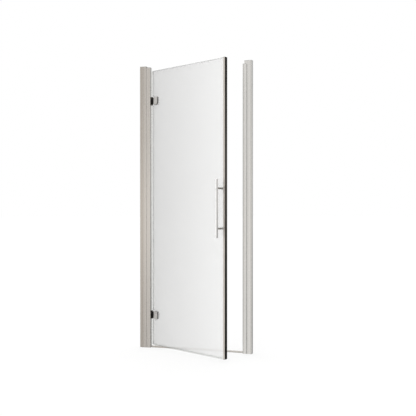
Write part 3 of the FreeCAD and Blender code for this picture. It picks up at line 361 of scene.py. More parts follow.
@dataclass(frozen=True)
class SatinAluminium(Finish):
    """Drawn profiles with a satin bright finish: fine lines and broad faint bands along them."""

    name: str = "satin_aluminium_upright"
    grain: Grain = Grain.UPRIGHT
    pale: Colour = (0.80, 0.785, 0.76, 1.0)
    dull: Colour = (0.70, 0.67, 0.635, 1.0)
    bands_per_metre: float = 110.0
    band_detail: float = 3.0
    band_low: float = 0.3
    band_high: float = 0.7
    band_share: float = 0.8
    lines_per_metre: float = 1400.0
    line_detail: float = 1.0
    roughness: float = 0.20
    roughness_spread: float = 0.12
    line_depth: float = 0.004 * MM
    line_strength: float = 0.25

    def tint(self, shader: Shader, tone: Value) -> bpy.types.NodeSocket:
        """The metal's colour, pale where the tone is 1."""
        return shader.blend(tone, self.dull, self.pale)

    def paint(self, shader: Shader) -> bpy.types.NodeSocket:
        """Metal whose tone and gloss vary in streaks.

        Args:
            shader: the material's shader.

        Returns:
            A surface shader's socket.
        """
        bands = shader.noise(cells(self.bands_per_metre, self.grain.value), self.band_detail)
        lines = shader.noise(cells(self.lines_per_metre, self.grain.value), self.line_detail)
        tone = (bands.stepped(self.band_low, self.band_high) * self.band_share
                + lines * (1.0 - self.band_share))
        return shader.principled({
            "Base Color": self.tint(shader, tone),
            "Metallic": METAL,
            "Roughness": lines * self.roughness_spread + self.roughness,
            "Normal": shader.bump(lines, self.line_depth, self.line_strength)})


@dataclass(frozen=True)
class GroovedAluminium(SatinAluminium):
    """A drawn profile with a groove in its front beside a lip, darkened with painted shade, and a band of
    painted shade by the wall.
    """

    groove_edge: float = 0.0
    groove_mouth: float = 0.0
    groove_top: float = 0.0
    # painted shade in the groove
    groove_shade_colour: Colour = (0.36, 0.355, 0.345, 1.0)
    groove_blend: float = 0.3 * MM
    wall_start: float = 0.0
    wall_blend: float = 2.0 * MM
    # painted shade along the wall
    wall_shade_colour: Colour = (0.71, 0.705, 0.685, 1.0)

    def tint(self, shader: Shader, tone: Value) -> bpy.types.NodeSocket:
        """The metal's colour, with painted shade in the front's groove and a band of painted shade by the
        wall.

        Args:
            shader: the material's shader.
            tone: 0 to 1 over the streaks.

        Returns:
            A colour socket.
        """
        east, north, up = shader.axes(shader.place())
        beside_lip = 1.0 - east.stepped(self.groove_edge - self.groove_blend, self.groove_edge)
        under_cap = 1.0 - up.stepped(self.groove_top - self.groove_blend, self.groove_top)
        sunk = north.stepped(self.groove_mouth, self.groove_mouth + self.groove_blend)
        in_front = 1.0 - north.stepped(-self.groove_blend, 0.0)
        shaded = beside_lip * under_cap * sunk * in_front
        by_wall = east.stepped(self.wall_start, self.wall_start + self.wall_blend)
        metal = shader.blend(by_wall, super().tint(shader, tone), self.wall_shade_colour)
        return shader.blend(shaded, metal, self.groove_shade_colour)


@dataclass(frozen=True)
class FlankedAluminium(SatinAluminium):
    """A drawn post whose side to the opening has painted light, with a line of painted shade behind the
    front corner.
    """

    flank: float = 0.0
    line_end: float = 0.0
    # painted shade along the flank behind the front corner
    shade_line_colour: Colour = (0.34, 0.325, 0.305, 1.0)
    # painted light on the flank
    lit_flank_colour: Colour = (0.97, 0.96, 0.945, 1.0)
    flank_inset: float = 0.4 * MM
    flank_blend: float = 0.4 * MM

    def tint(self, shader: Shader, tone: Value) -> bpy.types.NodeSocket:
        """The metal's colour, with painted light and a line of painted shade on the side to the opening.

        Args:
            shader: the material's shader.
            tone: 0 to 1 over the streaks.

        Returns:
            A colour socket.
        """
        east, north, _ = shader.axes(shader.place())
        edge = self.flank - self.flank_inset
        on_flank = east.stepped(edge - self.flank_blend, edge)
        past_line = north.stepped(self.line_end - self.flank_blend, self.line_end)
        side = shader.blend(past_line, self.shade_line_colour, self.lit_flank_colour)
        return shader.blend(on_flank, super().tint(shader, tone), side)


@dataclass(frozen=True)
class EdgedAluminium(SatinAluminium):
    """A drawn profile whose tone changes towards one upright edge: painted light on the hinge channel's
    edge by the post, painted shade on the strike post's lip.
    """

    edge_start: float = 0.0
    edge_end: float = 0.0
    painted_edge_colour: Colour = (0.74, 0.715, 0.68, 1.0)

    def tint(self, shader: Shader, tone: Value) -> bpy.types.NodeSocket:
        """The metal's colour, turning into the edge's painted tone from edge_start to edge_end.

        Args:
            shader: the material's shader.
            tone: 0 to 1 over the streaks.

        Returns:
            A colour socket.
        """
        east, _, _ = shader.axes(shader.place())
        by_edge = east.stepped(self.edge_start, self.edge_end)
        return shader.blend(by_edge, super().tint(shader, tone), self.painted_edge_colour)


@dataclass(frozen=True)
class PolishedChrome(Finish):
    """Bright plating with the faint haze of wiped water."""

    name: str = "bright_plating"
    bright: Colour = (0.95, 0.95, 0.945, 1.0)
    hazed: Colour = (0.88, 0.88, 0.875, 1.0)
    haze_per_metre: float = 60.0
    haze_detail: float = 4.0
    haze_low: float = 0.4
    haze_high: float = 0.75
    roughness: float = 0.05
    roughness_spread: float = 0.10

    def tint(self, shader: Shader, haze: Value) -> bpy.types.NodeSocket:
        """The plating's colour, duller where the haze is 1."""
        return shader.blend(haze, self.bright, self.hazed)

    def paint(self, shader: Shader) -> bpy.types.NodeSocket:
        """Mirror metal, duller where the haze lies.

        Args:
            shader: the material's shader.

        Returns:
            A surface shader's socket.
        """
        clouds = shader.noise(cells(self.haze_per_metre), self.haze_detail)
        haze = clouds.stepped(self.haze_low, self.haze_high)
        return shader.principled({
            "Base Color": self.tint(shader, haze),
            "Metallic": METAL,
            "Roughness": haze * self.roughness_spread + self.roughness})


@dataclass(frozen=True)
class RimmedChrome(PolishedChrome):
    """A plated plate whose rim has painted shade, darker than its face."""

    name: str = "satin_plate"
    bright: Colour = (0.58, 0.565, 0.545, 1.0)
    hazed: Colour = (0.51, 0.495, 0.475, 1.0)
    roughness: float = 0.48
    face: Way = (0.0, 1.0, 0.0)
    rim_shade: Colour = (0.30, 0.29, 0.275, 1.0)
    rim_turn: float = 0.45
    face_turn: float = 0.75

    def tint(self, shader: Shader, haze: Value) -> bpy.types.NodeSocket:
        """The plating's colour, with painted shade round the rim.

        Args:
            shader: the material's shader.
            haze: 1 where the plating is dull.

        Returns:
            A colour socket.
        """
        on_face = abs(shader.along(shader.outward(), self.face)).stepped(self.rim_turn, self.face_turn)
        return shader.blend(on_face, self.rim_shade, super().tint(shader, haze))


@dataclass(frozen=True)
class PlatedSteel(Finish):
    """Zinc plated fixings: a cool grey with fine turning marks."""

    name: str = "plated_steel"
    bright: Colour = (0.66, 0.67, 0.68, 1.0)
    dull: Colour = (0.50, 0.50, 0.50, 1.0)
    marks_per_metre: float = 2600.0
    roughness: float = 0.28
    roughness_spread: float = 0.16
    mark_depth: float = 0.01 * MM
    mark_strength: float = 0.3

    def paint(self, shader: Shader) -> bpy.types.NodeSocket:
        """Metal with fine even marks.

        Args:
            shader: the material's shader.

        Returns:
            A surface shader's socket.
        """
        marks = shader.noise(cells(self.marks_per_metre))
        return shader.principled({
            "Base Color": shader.blend(marks, self.dull, self.bright),
            "Metallic": METAL,
            "Roughness": marks * self.roughness_spread + self.roughness,
            "Normal": shader.bump(marks, self.mark_depth, self.mark_strength)})


@dataclass(frozen=True)
class Moulding(Finish):
    """Plastic, rubber or a coating: one colour, slightly clouded, over a fine texture."""

    name: str
    colour: Colour
    clouded: Colour
    roughness: float
    pores_per_metre: float
    pore_depth: float
    gloss: float = 0.5
    stretch: Way = EVEN
    roughness_spread: float = 0.16
    pore_strength: float = 0.5
    pores_per_cloud: float = 24.0
    cloud_detail: float = 3.0
    cloud_low: float = 0.25
    cloud_high: float = 0.75

    def paint(self, shader: Shader) -> bpy.types.NodeSocket:
        """A coloured surface with a fine relief.

        Args:
            shader: the material's shader.

        Returns:
            A surface shader's socket.
        """
        pores = shader.noise(cells(self.pores_per_metre, self.stretch))
        clouds = shader.noise(cells(self.pores_per_metre / self.pores_per_cloud, self.stretch),
                              self.cloud_detail).stepped(self.cloud_low, self.cloud_high)
        return shader.principled({
            "Base Color": shader.blend(clouds, self.colour, self.clouded),
            "Roughness": pores * self.roughness_spread + self.roughness,
            "Specular IOR Level": self.gloss,
            "Normal": shader.bump(pores, self.pore_depth, self.pore_strength)})


@dataclass(frozen=True)
class ToughenedGlass(Finish):
    """A clear pane: veiled faces with a soft grey tint, and grey-green ground edges."""

    name: str = "toughened_glass"
    face: Way = (0.0, 1.0, 0.0)
    free_end: Way = (1.0, 0.0, 0.0)
    tint: Colour = (0.93, 0.93, 0.928, 1.0)
    haze: Colour = (0.88, 0.88, 0.878, 1.0)
    hazed: float = 0.42
    haze_roughness: float = 0.9
    haze_gloss: float = 0.0
    edge_pale: Colour = (0.07, 0.085, 0.077, 1.0)
    edge_deep: Colour = (0.02, 0.027, 0.024, 1.0)
    sealed_edge: Colour = (0.56, 0.57, 0.56, 1.0)
    mirrored: float = 0.20
    mirror_roughness: float = 0.0
    ground_per_metre: float = 900.0
    edge_roughness: float = 0.22
    edge_roughness_spread: float = 0.2
    edge_gloss: float = 0.2
    arris_turn: float = 0.80
    face_turn: float = 0.90
    side_turn: float = 0.5
    end_turn: float = 0.6

    def paint(self, shader: Shader) -> bpy.types.NodeSocket:
        """A thin veiled sheet on the faces, and an opaque deep tint on the edges.

        Args:
            shader: the material's shader.

        Returns:
            A surface shader's socket.
        """
        outward = shader.outward()
        on_face = abs(shader.along(outward, self.face)).stepped(self.arris_turn, self.face_turn)
        under_seal = abs(shader.along(outward, self.free_end)).stepped(self.side_turn, self.end_turn)
        film = shader.principled({"Base Color": self.haze, "Roughness": self.haze_roughness,
                                  "Specular IOR Level": self.haze_gloss})
        veiled = shader.mixed(self.hazed, shader.clear(self.tint), film)
        mirror = shader.node("ShaderNodeBsdfGlossy", None,
                             {"Color": WHITE, "Roughness": self.mirror_roughness}).outputs[0]
        sheet = shader.mixed(shader.facing_gloss(self.mirrored), veiled, mirror)
        ground = shader.noise(cells(self.ground_per_metre))
        bare = shader.blend(ground, self.edge_deep, self.edge_pale)
        edge = shader.principled({
            "Base Color": shader.blend(under_seal, bare, self.sealed_edge),
            "Specular IOR Level": self.edge_gloss,
            "Roughness": ground * self.edge_roughness_spread + self.edge_roughness})
        return shader.mixed(on_face, edge, sheet)


@dataclass(frozen=True)
class ClearSeal(Finish):
    """Clear flexible extrusion: mostly see-through, milky where it is seen along its wall."""

    name: str = "clear_extrusion"
    tint: Colour = (0.98, 0.982, 0.978, 1.0)
    milk: Colour = (0.86, 0.865, 0.85, 1.0)
    pale_line: Colour = grey(0.92)
    milkiness: float = 0.02
    milk_spread: float = 0.12
    square_share: float = 0.1
    roughness: float = 0.18
    roughness_spread: float = 0.15
    lines_per_metre: float = 700.0
    line_detail: float = 1.0
    stretch: Way = DRAWN_UP
    fin_top: float = 0.0
    fin_share: float = 0.14
    fin_colour: Colour = (0.52, 0.52, 0.50, 1.0)
    fin_blend: float = 1.0 * MM

    def paint(self, shader: Shader) -> bpy.types.NodeSocket:
        """A clear wall with a share of milky plastic in it, and a grey soft fin below fin_top.

        Args:
            shader: the material's shader.

        Returns:
            A surface shader's socket.
        """
        lines = shader.noise(cells(self.lines_per_metre, self.stretch), self.line_detail)
        _, _, up = shader.axes(shader.place())
        on_fin = 1.0 - up.stepped(self.fin_top - self.fin_blend, self.fin_top)
        wall = shader.blend(lines, self.milk, self.pale_line)
        milky = shader.principled({
            "Base Color": shader.blend(on_fin, wall, self.fin_colour),
            "Roughness": lines * self.roughness_spread + self.roughness})
        share = shader.facing_gloss(self.square_share) * self.milk_spread + self.milkiness
        return shader.mixed(share + on_fin * self.fin_share, shader.clear(self.tint), milky)


# Mesh helpers

@dataclass(frozen=True)
class Ring:
    """One level of a turned piece: its radius, its height, and its number of flats if it has any."""

    radius: float
    height: float
    flats: int = 0

    def reach(self, angle: float) -> float:
        """The distance from the axis; on a ring with flats, radius is to their middle.

        Args:
            angle: the way out from the axis, in radians.

        Returns:
            The distance that way.
        """
        if not self.flats:
            return self.radius
        step = math.tau / self.flats
        return self.radius / math.cos(angle % step - step / 2)


def arc_rings(radius: float, start: float, rise: float, steps: int) -> list[Ring]:
    """Rings of a dome.

    Args:
        radius: the dome's radius at its foot.
        start: the height of its foot.
        rise: its height.
        steps: how many rings it has.

    Returns:
        The rings from the foot up, without the top point.
    """
    turns = [math.pi / 2 * step / steps for step in range(steps)]
    return [Ring(radius * math.cos(turn), start + rise * math.sin(turn)) for turn in turns]


class Turned:
    """A mesh of closed pieces turned about an axis."""

    SEGMENTS = 48
    CREASE = math.radians(28)

    def __init__(self) -> None:
        """Starts with no pieces."""
        self.mesh = bmesh.new()

    def add(self, rings: Sequence[Ring], place: Matrix) -> None:
        """Adds one closed piece.

        Args:
            rings: its levels from the bottom up; the first and last are closed off.
            place: where its axis, local Z, stands.
        """
        angles = [math.tau * step / self.SEGMENTS for step in range(self.SEGMENTS)]
        levels = []
        for ring in rings:
            reaches = [ring.reach(angle) for angle in angles]
            points = [(reach * math.cos(angle), reach * math.sin(angle), ring.height)
                      for reach, angle in zip(reaches, angles)]
            levels.append([self.mesh.verts.new(place @ Vector(point)) for point in points])
        for low, high in zip(levels, levels[1:]):
            for here in range(self.SEGMENTS):
                there = (here + 1) % self.SEGMENTS
                self.mesh.faces.new((low[here], low[there], high[there], high[here]))
        self.mesh.faces.new(list(reversed(levels[0])))
        self.mesh.faces.new(levels[-1])

    def piece(self, name: str, place: Matrix) -> bpy.types.Object:
        """The finished object.

        Args:
            name: its name.
            place: from the axes it was built in to the door's frame.

        Returns:
            An object whose mesh is already in place.
        """
        made = bpy.data.meshes.new(name)
        bmesh.ops.recalc_face_normals(self.mesh, faces=self.mesh.faces)
        self.mesh.to_mesh(made)
        self.mesh.free()
        made.transform(place)
        made.shade_smooth()
        made.set_sharp_from_angle(angle=self.CREASE)
        shown = bpy.data.objects.new(name, made)
        bpy.context.scene.collection.objects.link(shown)
        return shown


class Leaf:
    """The open leaf's own axes: X along it from the hinge pins, Y through it to the back, Z up."""

    def __init__(self, joint: Mapping) -> None:
        """Reads where the leaf stands.

        Args:
            joint: the record's hinge joint of the leaf.
        """
        east, north, _ = joint["pos_m"]
        ajar = math.radians(joint["range_deg"][0])
        self.matrix = Matrix.Translation((east, north, 0.0)) @ Matrix.Rotation(ajar, 4, "Z")
        self.inverse = self.matrix.inverted()

    @property
    def face(self) -> Way:
        """The way that the pane's back looks, in the door's frame."""
        return tuple(self.matrix.to_3x3() @ Vector((0.0, 1.0, 0.0)))

    @property
    def free_end(self) -> Way:
        """The way from the hinges to the leaf's free edge, in the door's frame."""
        return tuple(self.matrix.to_3x3() @ Vector((1.0, 0.0, 0.0)))

    def box(self, node: str) -> tuple[Vector, Vector]:
        """A node's box in the leaf's axes.

        Args:
            node: the name of a CAD node.

        Returns:
            Its lowest and highest corners.
        """
        points = [self.inverse @ vertex.co for vertex in frame["nodes"][node].data.vertices]
        low = Vector(min(point[axis] for point in points) for axis in range(3))
        high = Vector(max(point[axis] for point in points) for axis in range(3))
        return low, high


FACING_BACK = Matrix.Rotation(-math.pi / 2, 4, "X")


def wear(finish: Finish, *nodes: str) -> None:
    """Gives CAD nodes a finish.

    Args:
        finish: what they wear.
        nodes: their names.
    """
    for node in nodes:
        for slot in frame["nodes"][node].material_slots:
            slot.material = finish.material()
        LOG.info("%s wears %s", node, finish.name)


def stand_for(piece: bpy.types.Object, node: str, body: str, finish: Finish) -> None:
    """Puts a finer piece in the place of a CAD node.

    Args:
        piece: the new object.
        node: the CAD node that it stands for.
        body: the body that it moves with.
        finish: what it wears.
    """
    piece.data.materials.append(finish.material())
    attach(piece, body)
    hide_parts(node)
    LOG.info("%s stands for %s", piece.name, node)


# Finishes of this door

# The hinge side's post and channel are darker, warmer copies of the strike side's aluminium, and the hinge
# channel is darker again: painted shade.
HINGE_POST = FlankedAluminium(name="satin_hinge_post", pale=(0.82, 0.80, 0.77, 1.0),
                              dull=(0.73, 0.71, 0.68, 1.0))
HINGE_CHANNEL = EdgedAluminium(name="satin_hinge_channel", pale=(0.67, 0.64, 0.60, 1.0),
                               dull=(0.57, 0.54, 0.50, 1.0))
STRIKE_POST = EdgedAluminium(name="satin_strike_post", pale=(0.87, 0.865, 0.845, 1.0),
                             dull=(0.79, 0.785, 0.765, 1.0), painted_edge_colour=(0.60, 0.595, 0.58, 1.0))
STRIKE_CHANNEL = GroovedAluminium(name="satin_strike_channel", pale=(0.86, 0.855, 0.835, 1.0),
                                  dull=(0.77, 0.765, 0.745, 1.0))
EDGE_ALUMINIUM = SatinAluminium(name="satin_aluminium_edge", pale=(0.68, 0.645, 0.60, 1.0),
                                dull=(0.58, 0.545, 0.50, 1.0), roughness=0.38)
SILL_ALUMINIUM = SatinAluminium(name="satin_aluminium_sill", grain=Grain.LENGTHWAYS)
CHROME = PolishedChrome()
# A darker copy of the bar's chrome for the standoffs: painted dark reflection.
SHADED_CHROME = PolishedChrome(name="plating_painted_dark", bright=(0.52, 0.515, 0.50, 1.0),
                             hazed=(0.45, 0.445, 0.43, 1.0), roughness=0.15)
STEEL = PlatedSteel()
CLEAR_SEAL = ClearSeal()
DRIP_SEAL = ClearSeal(name="drip_extrusion", milkiness=0.01)
GREY_CAP = Moulding("grey_moulding", grey(0.36, 0.02), grey(0.42, 0.02), roughness=0.42,
                    pores_per_metre=2200.0, pore_depth=0.02 * MM)
BLACK_COAT = Moulding("black_coat", grey(0.006, 0.10), grey(0.011, 0.12), roughness=0.34,
                      pores_per_metre=3000.0, pore_depth=0.015 * MM, gloss=0.22)
# The hinge bracket's dark brown stands for shaded plating: painted shade.
BRACKET_SHADE_COAT = Moulding("bracket_painted_shade", grey(0.040, 0.14), grey(0.060, 0.16), roughness=0.40,
                      pores_per_metre=3000.0, pore_depth=0.015 * MM, gloss=0.35)
BLACK_SEAL = Moulding("black_extrusion", grey(0.003, 0.32), grey(0.004, 0.34), roughness=0.22,
                      pores_per_metre=1500.0, pore_depth=0.01 * MM, stretch=DRAWN_UP)
WHITE_BUSH = Moulding("white_moulding", grey(0.78, 0.02), grey(0.70, 0.03), roughness=0.45,
                      pores_per_metre=2000.0, pore_depth=0.01 * MM)
RUBBER = Moulding("grey_rubber", grey(0.030), grey(0.045), roughness=0.70,
                  pores_per_metre=1800.0, pore_depth=0.03 * MM, gloss=0.30)
MAGNET = Moulding("magnet_rubber", grey(0.040, 0.05), grey(0.060, 0.05), roughness=0.62,
                  pores_per_metre=1600.0, pore_depth=0.02 * MM, gloss=0.30)


# Sub-assemblies

class Side(Enum):
    """The two walls of the opening."""

    HINGE = "hinge"
    STRIKE = "strike"


@dataclass
class WallSide:
    """A wall channel, the post that slides in it, their caps and locking screws."""

    side: Side
    rim_height: float = 1.0 * MM
    dome_steps: int = 7
    cover_width: float = 31.8 * MM
    groove_depth: float = 2.0 * MM
    flank_line: float = 7.0 * MM
    # where painted light on the hinge channel's edge begins and where it is full
    lit_edge_from: float = 28.0 * MM
    lit_edge_to: float = 10.0 * MM
    wall_band: float = 13.0 * MM
    lip_band: float = 7.5 * MM
    lip_blend: float = 3.0 * MM

    def post(self) -> SatinAluminium:
        """The post's tones in their places.

        Returns:
            On the hinge side a flank of painted light behind a line of painted shade, on the strike side
            painted shade on the lip.
        """
        low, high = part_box(f"{self.side.value}_post")
        if self.side is Side.STRIKE:
            lip_end = low[0] + self.lip_band
            return replace(STRIKE_POST, edge_start=lip_end, edge_end=lip_end - self.lip_blend)
        return replace(HINGE_POST, flank=high[0], line_end=low[1] + self.flank_line)

    def channel(self) -> SatinAluminium:
        """The channel's tones in their places.

        Returns:
            On the hinge side painted light on the edge by the post, on the strike side painted shade in
            the groove by the post's lip and along the wall.
        """
        if self.side is Side.HINGE:
            _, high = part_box("hinge_side_wall_profile")
            return replace(HINGE_CHANNEL, edge_start=high[0] - self.lit_edge_from,
                           edge_end=high[0] - self.lit_edge_to)
        low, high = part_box("strike_side_wall_profile")
        _, post_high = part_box("strike_post")
        return replace(STRIKE_CHANNEL, groove_edge=high[0] - self.cover_width,
                       groove_mouth=low[1] + self.groove_depth / 2, groove_top=post_high[2],
                       wall_start=high[0] - self.wall_band)

    def build(self) -> None:
        """Domed covers over the locking screws."""
        node = f"{self.side.value}_side_screw_covers"
        low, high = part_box(node)
        radius = (high[0] - low[0]) / 2
        middle = low[0] + radius
        heights = sorted(vertex.co.z for vertex in frame["nodes"][node].data.vertices)
        climbs = zip(heights, heights[1:])
        feet = [heights[0], *(above for below, above in climbs if above - below > radius)]
        covers = Turned()
        rise = high[1] - low[1] - self.rim_height
        rings = [Ring(radius, 0.0), *arc_rings(radius, self.rim_height, rise, self.dome_steps)]
        for foot in feet:
            covers.add(rings, Matrix.Translation((middle, low[1], foot + radius)) @ FACING_BACK)
        piece = covers.piece(f"{self.side.value}_side_cover_domes", Matrix.Identity(4))
        stand_for(piece, node, "frame", GREY_CAP)

    def dress(self) -> None:
        """Satin channel and post, moulded caps, plated screws."""
        side = self.side.value
        wear(self.channel(), f"{side}_side_wall_profile")
        wear(self.post(), f"{side}_post")
        wear(GREY_CAP, f"{side}_side_wall_cap", f"{side}_post_cap")
        wear(STEEL, f"{side}_side_locking_screws")
        if self.side is Side.STRIKE:
            wear(BLACK_SEAL, "strike_magnet_seal")
            wear(MAGNET, "strike_magnet_strip")


@dataclass
class Threshold:
    """The low strip on the tray and its end pads."""

    def dress(self) -> None:
        """Satin strip and clear pads."""
        wear(SILL_ALUMINIUM, "threshold_bar")
        wear(CLEAR_SEAL, "threshold_end_pads")


class Level(Enum):
    """The two hinges of the leaf."""

    LOWER = "lower"
    UPPER = "upper"


@dataclass
class ClampHinge:
    """A bracket on the post, a knuckle on its pin, and two plates that clamp the glass."""

    level: Level
    leaf: Leaf
    socket_sides: int = 6
    socket_flats: float = 3.0 * MM
    socket_depth: float = 2.2 * MM
    shank_radius: float = 2.5 * MM
    head_bevel: float = 0.35 * MM

    def build(self) -> None:
        """Countersunk clamp screws with hexagon sockets."""
        node = f"{self.level.value}_clamp_screws"
        low, high = self.leaf.box(node)
        head = (high.x - low.x) / 2
        face = high.y
        rings = [
            Ring(self.shank_radius, low.y - face),
            Ring(self.shank_radius, self.shank_radius - head),
            Ring(head, -self.head_bevel),
            Ring(head - self.head_bevel, 0.0),
            Ring(self.socket_flats / 2 + self.head_bevel, 0.0, self.socket_sides),
            Ring(self.socket_flats / 2, -self.head_bevel / 2, self.socket_sides),
            Ring(self.socket_flats / 2, -self.socket_depth, self.socket_sides)]
        screws = Turned()
        for z in (low.z + head, high.z - head):
            screws.add(rings, Matrix.Translation((low.x + head, face, z)) @ FACING_BACK)
        piece = screws.piece(f"{self.level.value}_socket_screws", self.leaf.matrix)
        stand_for(piece, node, "door", STEEL)

    def dress(self) -> None:
        """Satin plates with painted shade round their rims, a bracket darkened with painted shade, a dark
        knuckle, plated fixings.
        """
        level = self.level.value
        wear(RimmedChrome(face=self.leaf.face), f"{level}_front_plate", f"{level}_back_plate")
        # painted shade on the bracket
        wear(BRACKET_SHADE_COAT, f"{level}_hinge_bracket")
        wear(BLACK_COAT, f"{level}_hinge_knuckle")
        wear(STEEL, f"{level}_hinge_pin", f"{level}_bracket_screws", f"{level}_backing_plate")
        wear(WHITE_BUSH, f"{level}_hinge_bushes")
        wear(RUBBER, f"{level}_clamp_gaskets")


@dataclass
class GlassPane:
    """The glass with its clear edge seals and drip seal."""

    leaf: Leaf

    def dress(self) -> None:
        """Clear glass and clear seals, with a grey fin under the drip seal."""
        wear(ToughenedGlass(face=self.leaf.face, free_end=self.leaf.free_end), "door_glass")
        wear(CLEAR_SEAL, "lower_edge_seal", "middle_edge_seal", "upper_edge_seal")
        foot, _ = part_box("closing_profile_caps")
        wear(replace(DRIP_SEAL, fin_top=foot[2]), "bottom_drip_seal")


@dataclass
class ClosingEdge:
    """The profile on the free edge, its gaskets and caps, and the magnet seal in it."""

    def dress(self) -> None:
        """Satin profile and a dark magnet seal."""
        wear(EDGE_ALUMINIUM, "closing_profile")
        wear(RUBBER, "closing_profile_gaskets")
        wear(BLACK_SEAL, "closing_profile_caps", "door_magnet_seal")
        wear(MAGNET, "door_magnet_strip")


@dataclass
class BarHandle:
    """An upright bar on two standoffs, bolted through the glass to domed nuts."""

    leaf: Leaf
    nut_skirt: float = 3.0 * MM
    dome_steps: int = 9

    def build(self) -> None:
        """Domed nuts on the back of the glass."""
        node = "handle_back_nuts"
        low, high = self.leaf.box(node)
        radius = (high.x - low.x) / 2
        rise = high.y - low.y - self.nut_skirt
        rings = [Ring(radius, 0.0), *arc_rings(radius, self.nut_skirt, rise, self.dome_steps)]
        nuts = Turned()
        for z in (low.z + radius, high.z - radius):
            nuts.add(rings, Matrix.Translation((low.x + radius, low.y, z)) @ FACING_BACK)
        piece = nuts.piece("handle_dome_nuts", self.leaf.matrix)
        stand_for(piece, node, "door", CHROME)

    def dress(self) -> None:
        """Chrome bar, standoffs in a darker copy of the chrome that paints dark reflections, clear
        washers, plated studs.
        """
        wear(CHROME, "handle_bar")
        wear(SHADED_CHROME, "handle_standoffs")
        wear(CLEAR_SEAL, "handle_front_washers", "handle_back_washers")
        wear(STEEL, "handle_studs")


# Studio and camera

FULL_TURN = 360.0
AHEAD = 0.5


def once_round(bearing: float) -> float:
    """A bearing in degrees as a place from 0 to 1 once round, straight ahead in the middle."""
    return bearing / FULL_TURN + AHEAD


@dataclass(frozen=True)
class Panel:
    """A stretch of the tent: degrees left of straight ahead, light above and below the horizon, warmth."""

    bearing: float
    above: float
    below: float
    warmth: float = 0.0


# The camera sees 10 to 20 degrees mirrored in the posts, 61 to 68 in the pane, -119 in the closing seal.
TENT = (
    Panel(-180.0, 0.66, 0.50), Panel(-140.0, 0.58, 0.36), Panel(-130.0, 0.10, 0.02),
    Panel(-108.0, 0.10, 0.02), Panel(-98.0, 0.54, 0.30), Panel(-60.0, 0.55, 0.26),
    Panel(-40.0, 0.38, 0.18), Panel(-15.0, 0.34, 0.14), Panel(-3.0, 0.48, 0.36),
    Panel(8.0, 1.02, 1.14, 0.01), Panel(20.0, 0.49, 0.40, 0.06), Panel(30.0, 0.49, 0.40, 0.06),
    Panel(38.0, 1.26, 1.26), Panel(61.0, 1.30, 1.30), Panel(69.0, 0.30, 0.30),
    Panel(74.0, 0.30, 0.30), Panel(82.0, 1.25, 1.25), Panel(135.0, 1.25, 1.25),
    Panel(148.0, 0.60, 0.50, 0.04), Panel(158.0, 0.50, 0.40, 0.055), Panel(172.0, 0.66, 0.50),
    Panel(180.0, 0.66, 0.50))


@dataclass(frozen=True)
class Lamp:
    """A soft lamp before the tent; its bearings are where it begins, is full, weakens and ends."""

    bearings: tuple[float, float, float, float]
    height: float
    reach: float
    light: float
    warmth: float

    def cover(self, bearing: Value, up: Value) -> Value:
        """How much of the tent the lamp covers.

        Args:
            bearing: 0 to 1 once round.
            up: the height of a way of length 1.

        Returns:
            1 in the lamp's middle, 0 beside it.
        """
        rise, full, fall, gone = (once_round(edge) for edge in self.bearings)
        beside = bearing.stepped(rise, full) * (1.0 - bearing.stepped(fall, gone))
        return beside * (1.0 - abs(up - self.height).stepped(0.0, self.reach))


LAMPS = (
    Lamp((4.0, 16.0, 28.0, 36.0), height=-0.03, reach=0.14, light=0.98, warmth=0.05),
    Lamp((-140.0, -128.0, -110.0, -98.0), height=0.05, reach=0.16, light=1.35, warmth=0.10))


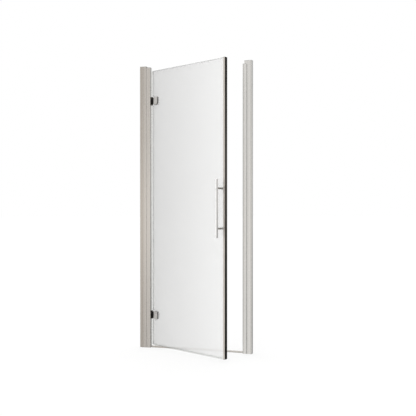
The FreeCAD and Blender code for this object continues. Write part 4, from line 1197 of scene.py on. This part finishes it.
@dataclass
class Studio:
    """A pale floor under a soft tent of light, with two bright screens on the left and two lamps."""

    floor_radius: float = 40.0
    floor_segments: int = 96
    floor_colour: Colour = (0.22, 0.22, 0.219, 1.0)
    floor_roughness: float = 0.9
    floor_gloss: float = 0.0
    floor_glow: float = 0.75
    clouds_per_metre: float = 0.6
    cloud_lift: float = 1.01
    horizon: tuple[float, float] = (-0.20, 0.04)
    overhead: tuple[float, float] = (0.40, 0.75)
    underneath: tuple[float, float] = (0.35, 0.75)
    top_light: float = 1.5
    low_light: float = 0.50
    backdrop: float = 1.0
    brightest: float = 3.0

    def ring(self, shader: Shader, bearing: Value, below: bool) -> bpy.types.NodeSocket:
        """The tent's light round the horizon.

        Args:
            shader: the world's shader.
            bearing: 0 to 1 once round.
            below: whether it is the light just below the horizon.

        Returns:
            A colour socket.
        """
        # A ramp holds 0 to 1, so light is given as a share of the brightest.
        stops = [(once_round(panel.bearing),
                  grey((panel.below if below else panel.above) / self.brightest, panel.warmth))
                 for panel in TENT]
        return shader.node("ShaderNodeValToRGB", {"stops": stops}, {"Fac": bearing}).outputs["Color"]

    def build_floor(self) -> None:
        """A wide pale disc with a faint cloudiness."""
        disc = bmesh.new()
        bmesh.ops.create_circle(disc, cap_ends=True, radius=self.floor_radius,
                                segments=self.floor_segments)
        made = bpy.data.meshes.new("studio_floor")
        disc.to_mesh(made)
        disc.free()
        floor = bpy.data.objects.new("studio_floor", made)
        bpy.context.scene.collection.objects.link(floor)
        floor.visible_glossy = False
        material = bpy.data.materials.new("studio_floor")
        shader = Shader(material)
        clouds = shader.noise(cells(self.clouds_per_metre))
        paler = tuple(min(1.0, level * self.cloud_lift) for level in self.floor_colour)
        shader.finish(shader.principled({
            "Base Color": shader.blend(clouds, self.floor_colour, paler),
            "Roughness": self.floor_roughness,
            "Specular IOR Level": self.floor_gloss,
            "Emission Color": WHITE,
            "Emission Strength": self.floor_glow}))
        made.materials.append(material)
        LOG.info("studio floor laid")

    def build_light(self) -> None:
        """The tent of light, and a white backdrop for what the camera sees past the door."""
        world = bpy.data.worlds.new("light_tent")
        bpy.context.scene.world = world
        shader = Shader(world)
        way = shader.node("ShaderNodeTexCoord").outputs["Generated"]
        east, north, up = shader.axes(way)
        bearing = (-east).turned_from(-north) / math.tau + AHEAD
        tent = shader.blend(up.stepped(*self.horizon), self.ring(shader, bearing, True),
                            self.ring(shader, bearing, False))
        for lamp in LAMPS:
            glow = grey(lamp.light / self.brightest, lamp.warmth)
            tent = shader.blend(lamp.cover(bearing, up), tent, glow)
        tent = shader.blend((-up).stepped(*self.underneath), tent, grey(self.low_light / self.brightest))
        tent = shader.blend(up.stepped(*self.overhead), tent, grey(self.top_light / self.brightest))
        light = shader.node("ShaderNodeBackground", None, {"Color": tent, "Strength": self.brightest})
        backdrop = shader.node("ShaderNodeBackground", None, {"Color": grey(self.backdrop)})
        seen = shader.node("ShaderNodeLightPath").outputs["Is Camera Ray"]
        shown = shader.mixed(seen, light.outputs[0], backdrop.outputs[0])
        shader.node("ShaderNodeOutputWorld", None, {"Surface": shown})
        LOG.info("light tent hung")


@dataclass
class PhotoCamera:
    """The photograph's point of view: just right of the open leaf, at the height of the handle."""

    place: tuple[float, float, float] = (1.0131, -3.6553, 0.9461)
    turned_left: float = math.radians(14.26)
    tilt: float = math.radians(-0.394)
    lens: float = 50.70
    sensor: float = 36.0

    def build(self) -> None:
        """Sets up the camera and a plain view of the colours."""
        data = bpy.data.cameras.new("photo_camera")
        data.lens = self.lens
        data.sensor_width = self.sensor
        camera = bpy.data.objects.new("photo_camera", data)
        camera.location = self.place
        camera.rotation_euler = (math.pi / 2 + self.tilt, 0.0, self.turned_left)
        bpy.context.scene.collection.objects.link(camera)
        bpy.context.scene.camera = camera
        bpy.context.scene.view_settings.view_transform = "Standard"
        LOG.info("camera placed")


def main() -> None:
    """Builds and dresses the door, then its studio and camera."""
    logging.basicConfig(level=logging.INFO, format="%(name)s: %(message)s")
    leaf = Leaf(frame["joints"][0])
    PhotoCamera().build()
    for side in Side:
        wall = WallSide(side)
        wall.build()
        wall.dress()
    Threshold().dress()
    for level in Level:
        hinge = ClampHinge(level, leaf)
        hinge.build()
        hinge.dress()
    GlassPane(leaf).dress()
    ClosingEdge().dress()
    handle = BarHandle(leaf)
    handle.build()
    handle.dress()
    studio = Studio()
    studio.build_floor()
    studio.build_light()


if __name__ == "__main__":
    main()
